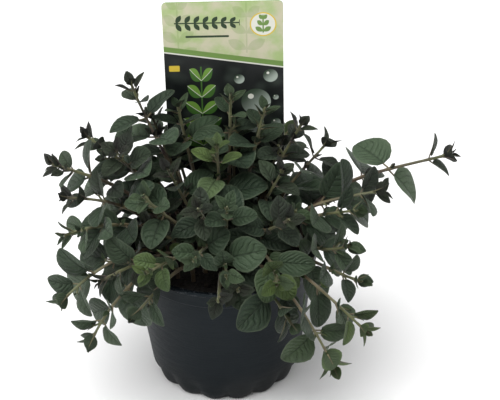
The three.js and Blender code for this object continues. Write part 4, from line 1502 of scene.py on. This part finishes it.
# Crumbs: cubes pulled out of shape, each half sunk in the surface, turned and stretched by chance.
def makeCrumbs():
    dice = np.random.default_rng(soilForm["seed"] + 1)
    count = soilForm["crumbs"]
    reach = (wallRadius(soil["top"]) - pot["wall"] - 3) * np.sqrt(dice.random(count))
    angle = 2 * np.pi * dice.random(count)
    x, y = reach * np.cos(angle), reach * np.sin(angle)
    small, large = soilForm["crumbSize"]
    size = small + (large - small) * dice.random(count) ** 3
    corners = np.array([(a, b, c) for a in (-1, 1) for b in (-1, 1) for c in (-1, 1)], float)
    (least, more), (flat, full) = soilForm["crumbCorners"], soilForm["crumbStretch"]
    shape = corners * (least + more * dice.random((count, 8, 3))) * (flat + full * dice.random((count, 1, 3)))
    turn = 2 * np.pi * dice.random(count)[:, None]
    a, b, c = np.moveaxis(shape, -1, 0)
    turned = np.stack([a * np.cos(turn) - b * np.sin(turn), a * np.sin(turn) + b * np.cos(turn), c], axis=-1)
    points = turned * size[:, None, None] + np.stack([x, y, soilSurface(x, y)], axis=-1)[:, None]
    cube = np.array([(0, 1, 3, 2), (4, 6, 7, 5), (0, 4, 5, 1), (2, 3, 7, 6), (0, 2, 6, 4), (1, 5, 7, 3)])
    quads = (cube[None] + 8 * np.arange(count)[:, None, None]).reshape(-1, 4)
    tone = np.repeat(dice.random(count), 8)
    piece = Piece("soil_crumbs", [soilMaterial])
    piece.add(points, quads, None, np.stack([tone, tone, tone, tone * 0 + 1], axis=-1))
    piece.make(30, None)


soilLook = {
    "dark": (0.008, 0.0065, 0.0055, 1),
    "peat": (0.018, 0.014, 0.0115, 1),
    "fibre": (0.07, 0.052, 0.034, 1),
    "relief": 0.0012,
}


# Compost: dark peat with pale fibres in it, and some of the crumbs paler.
def makeSoilMaterial(look):
    material, board, place, grain = newMaterial("pottingCompost", 700.0, 160.0)
    traits = board.traits()
    fibres = board.noise(board.stretched(place, (1, 5, 1), (0, 0, 0.7)), 420.0, 3.0, 0.6)
    color = board.layers(
        look,
        "dark",
        (grain["Grain"], "peat"),
        (board.ramp(fibres, 0.6, 0.72) * 0.5, "fibre"),
        (board.ramp(traits["Fac"], 0.7, 1.0) * traits["Alpha"] * 0.5, "fibre"),
    )
    bump = (grain["Grain"] + grain["Blotch"], look["relief"], 1.0)
    return finishMaterial(material, board, color, board.ramp(grain["Blotch"], 0.0, 1.0, 0.8, 0.95), bump, {})


soilMaterial = makeSoilMaterial(soilLook)
makeSoil()
makeCrumbs()
print("soil made")

# The plant label.
cardForm = {"cornerSteps": 8, "edge": 0.12}


# Half of the outline, up from the stake's point by its shoulder to the rounded corner, then its mirror image.
def cardOutline():
    half, stake, c, top = label["width"] / 2, label["stakeWidth"] / 2, label["corner"], label["top"]
    foot = [(label["pointHalf"], label["bottom"]), (stake, label["bottom"] + label["point"])]
    neck = [(stake, label["cardBottom"] - label["shoulder"]), (half, label["cardBottom"])]
    right = np.array(foot + neck + roundedEdge(half - c, top - c, c, 0, 90, cardForm["cornerSteps"]))
    return np.concatenate([right, right[::-1] * (-1, 1)])


# The card: its outline drawn in a little on both faces, which gives it a small bevel all round.
def makeCard():
    outline = cardOutline()
    n, edge, deep = len(outline), cardForm["edge"], label["thickness"] / 2
    tangent = np.roll(outline, -1, axis=0) - np.roll(outline, 1, axis=0)
    inward = np.stack([-tangent[:, 1], tangent[:, 0]], axis=-1) / np.linalg.norm(tangent, axis=1)[:, None]
    drawnIn = outline + inward * edge
    rings = [(drawnIn, -deep), (outline, -deep + edge), (outline, deep - edge), (drawnIn, deep)]
    points = np.concatenate([np.insert(ring, 1, y, axis=1) for ring, y in rings])
    points = points + (label["centreX"], label["centreY"], 0)
    k = np.arange(n)
    faces = gridQuads(4, n, True).tolist() + [k.tolist()[::-1], (k + 3 * n).tolist()]
    mesh = bpy.data.meshes.new("label_card")
    mesh.from_pydata((points * mm).tolist(), [], [face[::-1] for face in faces])
    mesh.materials.append(makePrintMaterial(printLook))
    mesh.materials.append(makeCardBackMaterial(printLook))
    finish = np.ones(len(faces), np.int32)
    finish[-2] = 0  # the face at the front is printed
    mesh.polygons.foreach_set("material_index", finish)
    card = newObject("label_card", mesh)
    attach(card, "root")
    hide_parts("plant_label")


# The print: a plain design of the maker's own, with no words. Colours are linear light. Places and sizes are
# millimetres, across from the card's middle line and up. A drop of dew is its place and its radius, a box its
# middle, its half sizes and its corner, and the rules are their top, their spacing and their bottom.
printLook = {
    "field": (0.4, 0.52, 0.22, 1),
    "mottle": (0.6, 0.57, 0.42, 1),
    "cream": (0.76, 0.76, 0.68, 1),
    "ink": (0.02, 0.045, 0.018, 1),
    "band": (0.16, 0.28, 0.065, 1),
    "panel": (0.006, 0.008, 0.008, 1),
    "haze": (0.035, 0.045, 0.038, 1),
    "leaf": (0.055, 0.15, 0.025, 1),
    "lime": (0.2, 0.38, 0.06, 1),
    "dew": (0.45, 0.52, 0.46, 1),
    "dewShade": (0.035, 0.06, 0.035, 1),
    "yellow": (0.7, 0.52, 0.05, 1),
    "back": (0.62, 0.63, 0.6, 1),
    "designTop": 233.5,  # the heights below are given for a card with this top
    "borderHeight": 194.0,
    "borderSlant": -0.16,
    "borders": [(4.4, "band"), (0.9, "cream"), (0.0, "panel")],
    "ghosts": [(-27.0, 194.0), (14.0, 199.0)],
    "twig": (219.5, -29.0, {"Spacing": 5.4, "Length": 6.4, "Width": 1.5, "Height": 62.0}),
    "twigEnd": (10.2, 10.0),
    "underline": ((-9.5, 210.5), (13.0, 0.7), 0.6),
    "badge": (24.0, 218.0),
    "badgeRings": [(8.0, "yellow"), (7.2, "cream")],
    "badgeSprig": (24.0, 212.4, {"Spacing": 4.2, "Length": 6.4, "Width": 1.5, "Height": 12.0}),
    "drops": [(19, 165, 9), (28, 183, 4.4), (9, 181, 3.2), (18, 148, 5)]
    + [(31, 150, 3), (1.5, 172, 2), (31, 168, 1.8)],
    "sprig": (-14.0, 132.0, {"Spacing": 11.5, "Length": 17.0, "Width": 4.0, "Height": 58.0}),
    "chip": ((-30.0, 189.0), (3.2, 2.0), 0.6),
    "headFrom": 219.0,
    "backDiscs": [(-20.0, 205.0), (0.0, 205.0), (20.0, 205.0)],
    "backRings": [(5.2, "band"), (4.4, "field")],
    "rules": (193.0, 5.0, 143.0),
    "softEdge": 0.12,
}


# The place on the card in the design's own millimetres.
def cardPlace(board, place, look):
    x, _, z = board.parts("XYZ", board.stretched(place, (1000, 1000, 1000)))
    return x - label["centreX"], z - (label["top"] - look["designTop"])


# Printed shapes, as masks from 0 to 1 with a soft edge.
def discMask(board, place, centre, radius, corner=(0, 0)):
    apart = [at - middle for at, middle in zip(place, centre)]
    if any(corner):
        apart = [board.math("MAXIMUM", abs(value) - past, 0.0) for value, past in zip(apart, corner)]
    soft = printLook["softEdge"]
    return board.ramp(board.math("SQRT", apart[0] ** 2.0 + apart[1] ** 2.0), radius + soft, radius - soft)


def boxMask(board, place, centre, half, corner):
    return discMask(board, place, centre, corner, (half[0] - corner, half[1] - corner))


# A sprig with equal leaf pairs: |x| folds its two sides, height modulo the spacing repeats a pair, and each
# leaf is where the distance from its midrib is under width * (1 - a squared), a from -1 to 1 along it.
def makeSprigGroup():
    sizes = {"Spacing": 11.0, "Length": 14.0, "Width": 3.3, "Height": 50.0, "Lean": 0.5}
    board, given = newGroup("printedSprig", X=0.0, Y=0.0, **sizes)
    share = given["Y"] / given["Height"]
    folded = abs(given["X"]) / (1.0 - share * 0.55)
    local = given["Y"] % given["Spacing"] - given["Spacing"] * 0.2
    cosine, sine = board.math("COSINE", given["Lean"]), board.math("SINE", given["Lean"])
    along = (folded * cosine + local * sine) * 2.0 / given["Length"] - 1.0
    across = local * cosine - folded * sine
    inHeight = board.math("GREATER_THAN", share, 0.0) * board.math("LESS_THAN", share, 1.0)
    leafMask = board.ramp(given["Width"] * (1.0 - along * along) - abs(across), -0.1, 0.15) * inHeight
    stalk = board.ramp(abs(given["X"]), 0.55, 0.35) * inHeight
    return finishGroup(
        board,
        Leaf=board.math("MAXIMUM", leafMask, stalk),
        Rib=board.ramp(abs(across), 0.28, 0.1) * leafMask,
        Lit=board.ramp(across, -0.1, 0.1) * leafMask,
    )


# A drop is shaded across itself, from its lower left to its upper right, and has a glint near its top.
def addDrop(board, color, place, drop, look):
    radius = drop[2]
    aside, above = ((at - middle) / radius for at, middle in zip(place, drop))
    shade = board.mix(board.ramp(aside * 0.6 - above * 0.8, -0.9, 0.95), look["dewShade"], look["dew"])
    glint = (drop[0] - 0.35 * radius, drop[1] + 0.42 * radius)
    glintMask = discMask(board, place, glint, 0.2 * radius)
    return board.layers(look, color, (discMask(board, place, drop, radius), shade), (glintMask, "cream"))


def makePrintMaterial(look):
    material, board, place, grain = newMaterial("labelPrint", 2500.0, 90.0)
    sprigGroup = makeSprigGroup()
    x, z = card = cardPlace(board, place, look)

    def sprigAt(across, up, fromAcross, fromUp, sizes):
        return board.group(sprigGroup, X=across - fromAcross, Y=up - fromUp, **sizes)

    level = z - (x * look["borderSlant"] + look["borderHeight"])
    spots = board.cells(place, 90.0, "SMOOTH_F1")["Distance"]
    sprig, soft = sprigAt(x, z, *look["sprig"]), look["softEdge"]
    color = board.layers(
        look,
        "field",
        (grain["Blotch"], "mottle"),
        *((sprigAt(x, z, *foot, {})["Leaf"] * 0.25, "band") for foot in look["ghosts"]),
        (sprigAt(z, x, *look["twig"])["Leaf"] * board.ramp(x, *look["twigEnd"]), "ink"),
        (boxMask(board, card, *look["underline"]), "ink"),
        *((discMask(board, card, look["badge"], radius), name) for radius, name in look["badgeRings"]),
        (sprigAt(x, z, *look["badgeSprig"])["Leaf"], "band"),
        *((board.ramp(level, edge + soft, edge - soft), name) for edge, name in look["borders"]),
        (board.ramp(spots, 0.5, 0.1) * board.ramp(level, -1.0, -7.0) * 0.8, "haze"),
    )
    for drop in look["drops"]:
        color = addDrop(board, color, card, drop, look)
    color = board.layers(
        look,
        color,
        (sprig["Leaf"], "leaf"),
        (sprig["Lit"] * 0.75, "lime"),
        (sprig["Rib"], "cream"),
        (boxMask(board, card, *look["chip"]), "yellow"),
    )
    roughness, bump = board.ramp(grain["Grain"], 0.3, 0.7, 0.3, 0.42), (grain["Grain"], 0.04 * mm, 0.6)
    return finishMaterial(material, board, color, roughness, bump, {"Specular IOR Level": 0.3})


# The back: satin white, with a green head, three plain discs and ruled lines left blank.
def makeCardBackMaterial(look):
    material, board, place, grain = newMaterial("labelPlastic", 1800.0, 30.0)
    card = cardPlace(board, place, look)
    z = card[1]
    top, spacing, bottom = look["rules"]
    rule = board.ramp(abs((z - bottom) % spacing - spacing / 2), 0.34, 0.2)
    inRules = boxMask(board, card, (0.0, (top + bottom) / 2), (27.0, (top - bottom) / 2), 0.5)
    head = (look["headFrom"] - look["softEdge"], look["headFrom"] + look["softEdge"])
    discs = [(at, radius, name) for at in look["backDiscs"] for radius, name in look["backRings"]]
    color = board.layers(
        look,
        "back",
        (grain["Blotch"] * 0.3, "cream"),
        (board.ramp(z, *head), "band"),
        *((discMask(board, card, at, radius), name) for at, radius, name in discs),
        (rule * inRules * 0.55, "ink"),
    )
    roughness, bump = board.ramp(grain["Grain"], 0.3, 0.7, 0.38, 0.5), (grain["Grain"], 0.05 * mm, 0.6)
    return finishMaterial(material, board, color, roughness, bump, {"Specular IOR Level": 0.3})


makeCard()
print("label made")
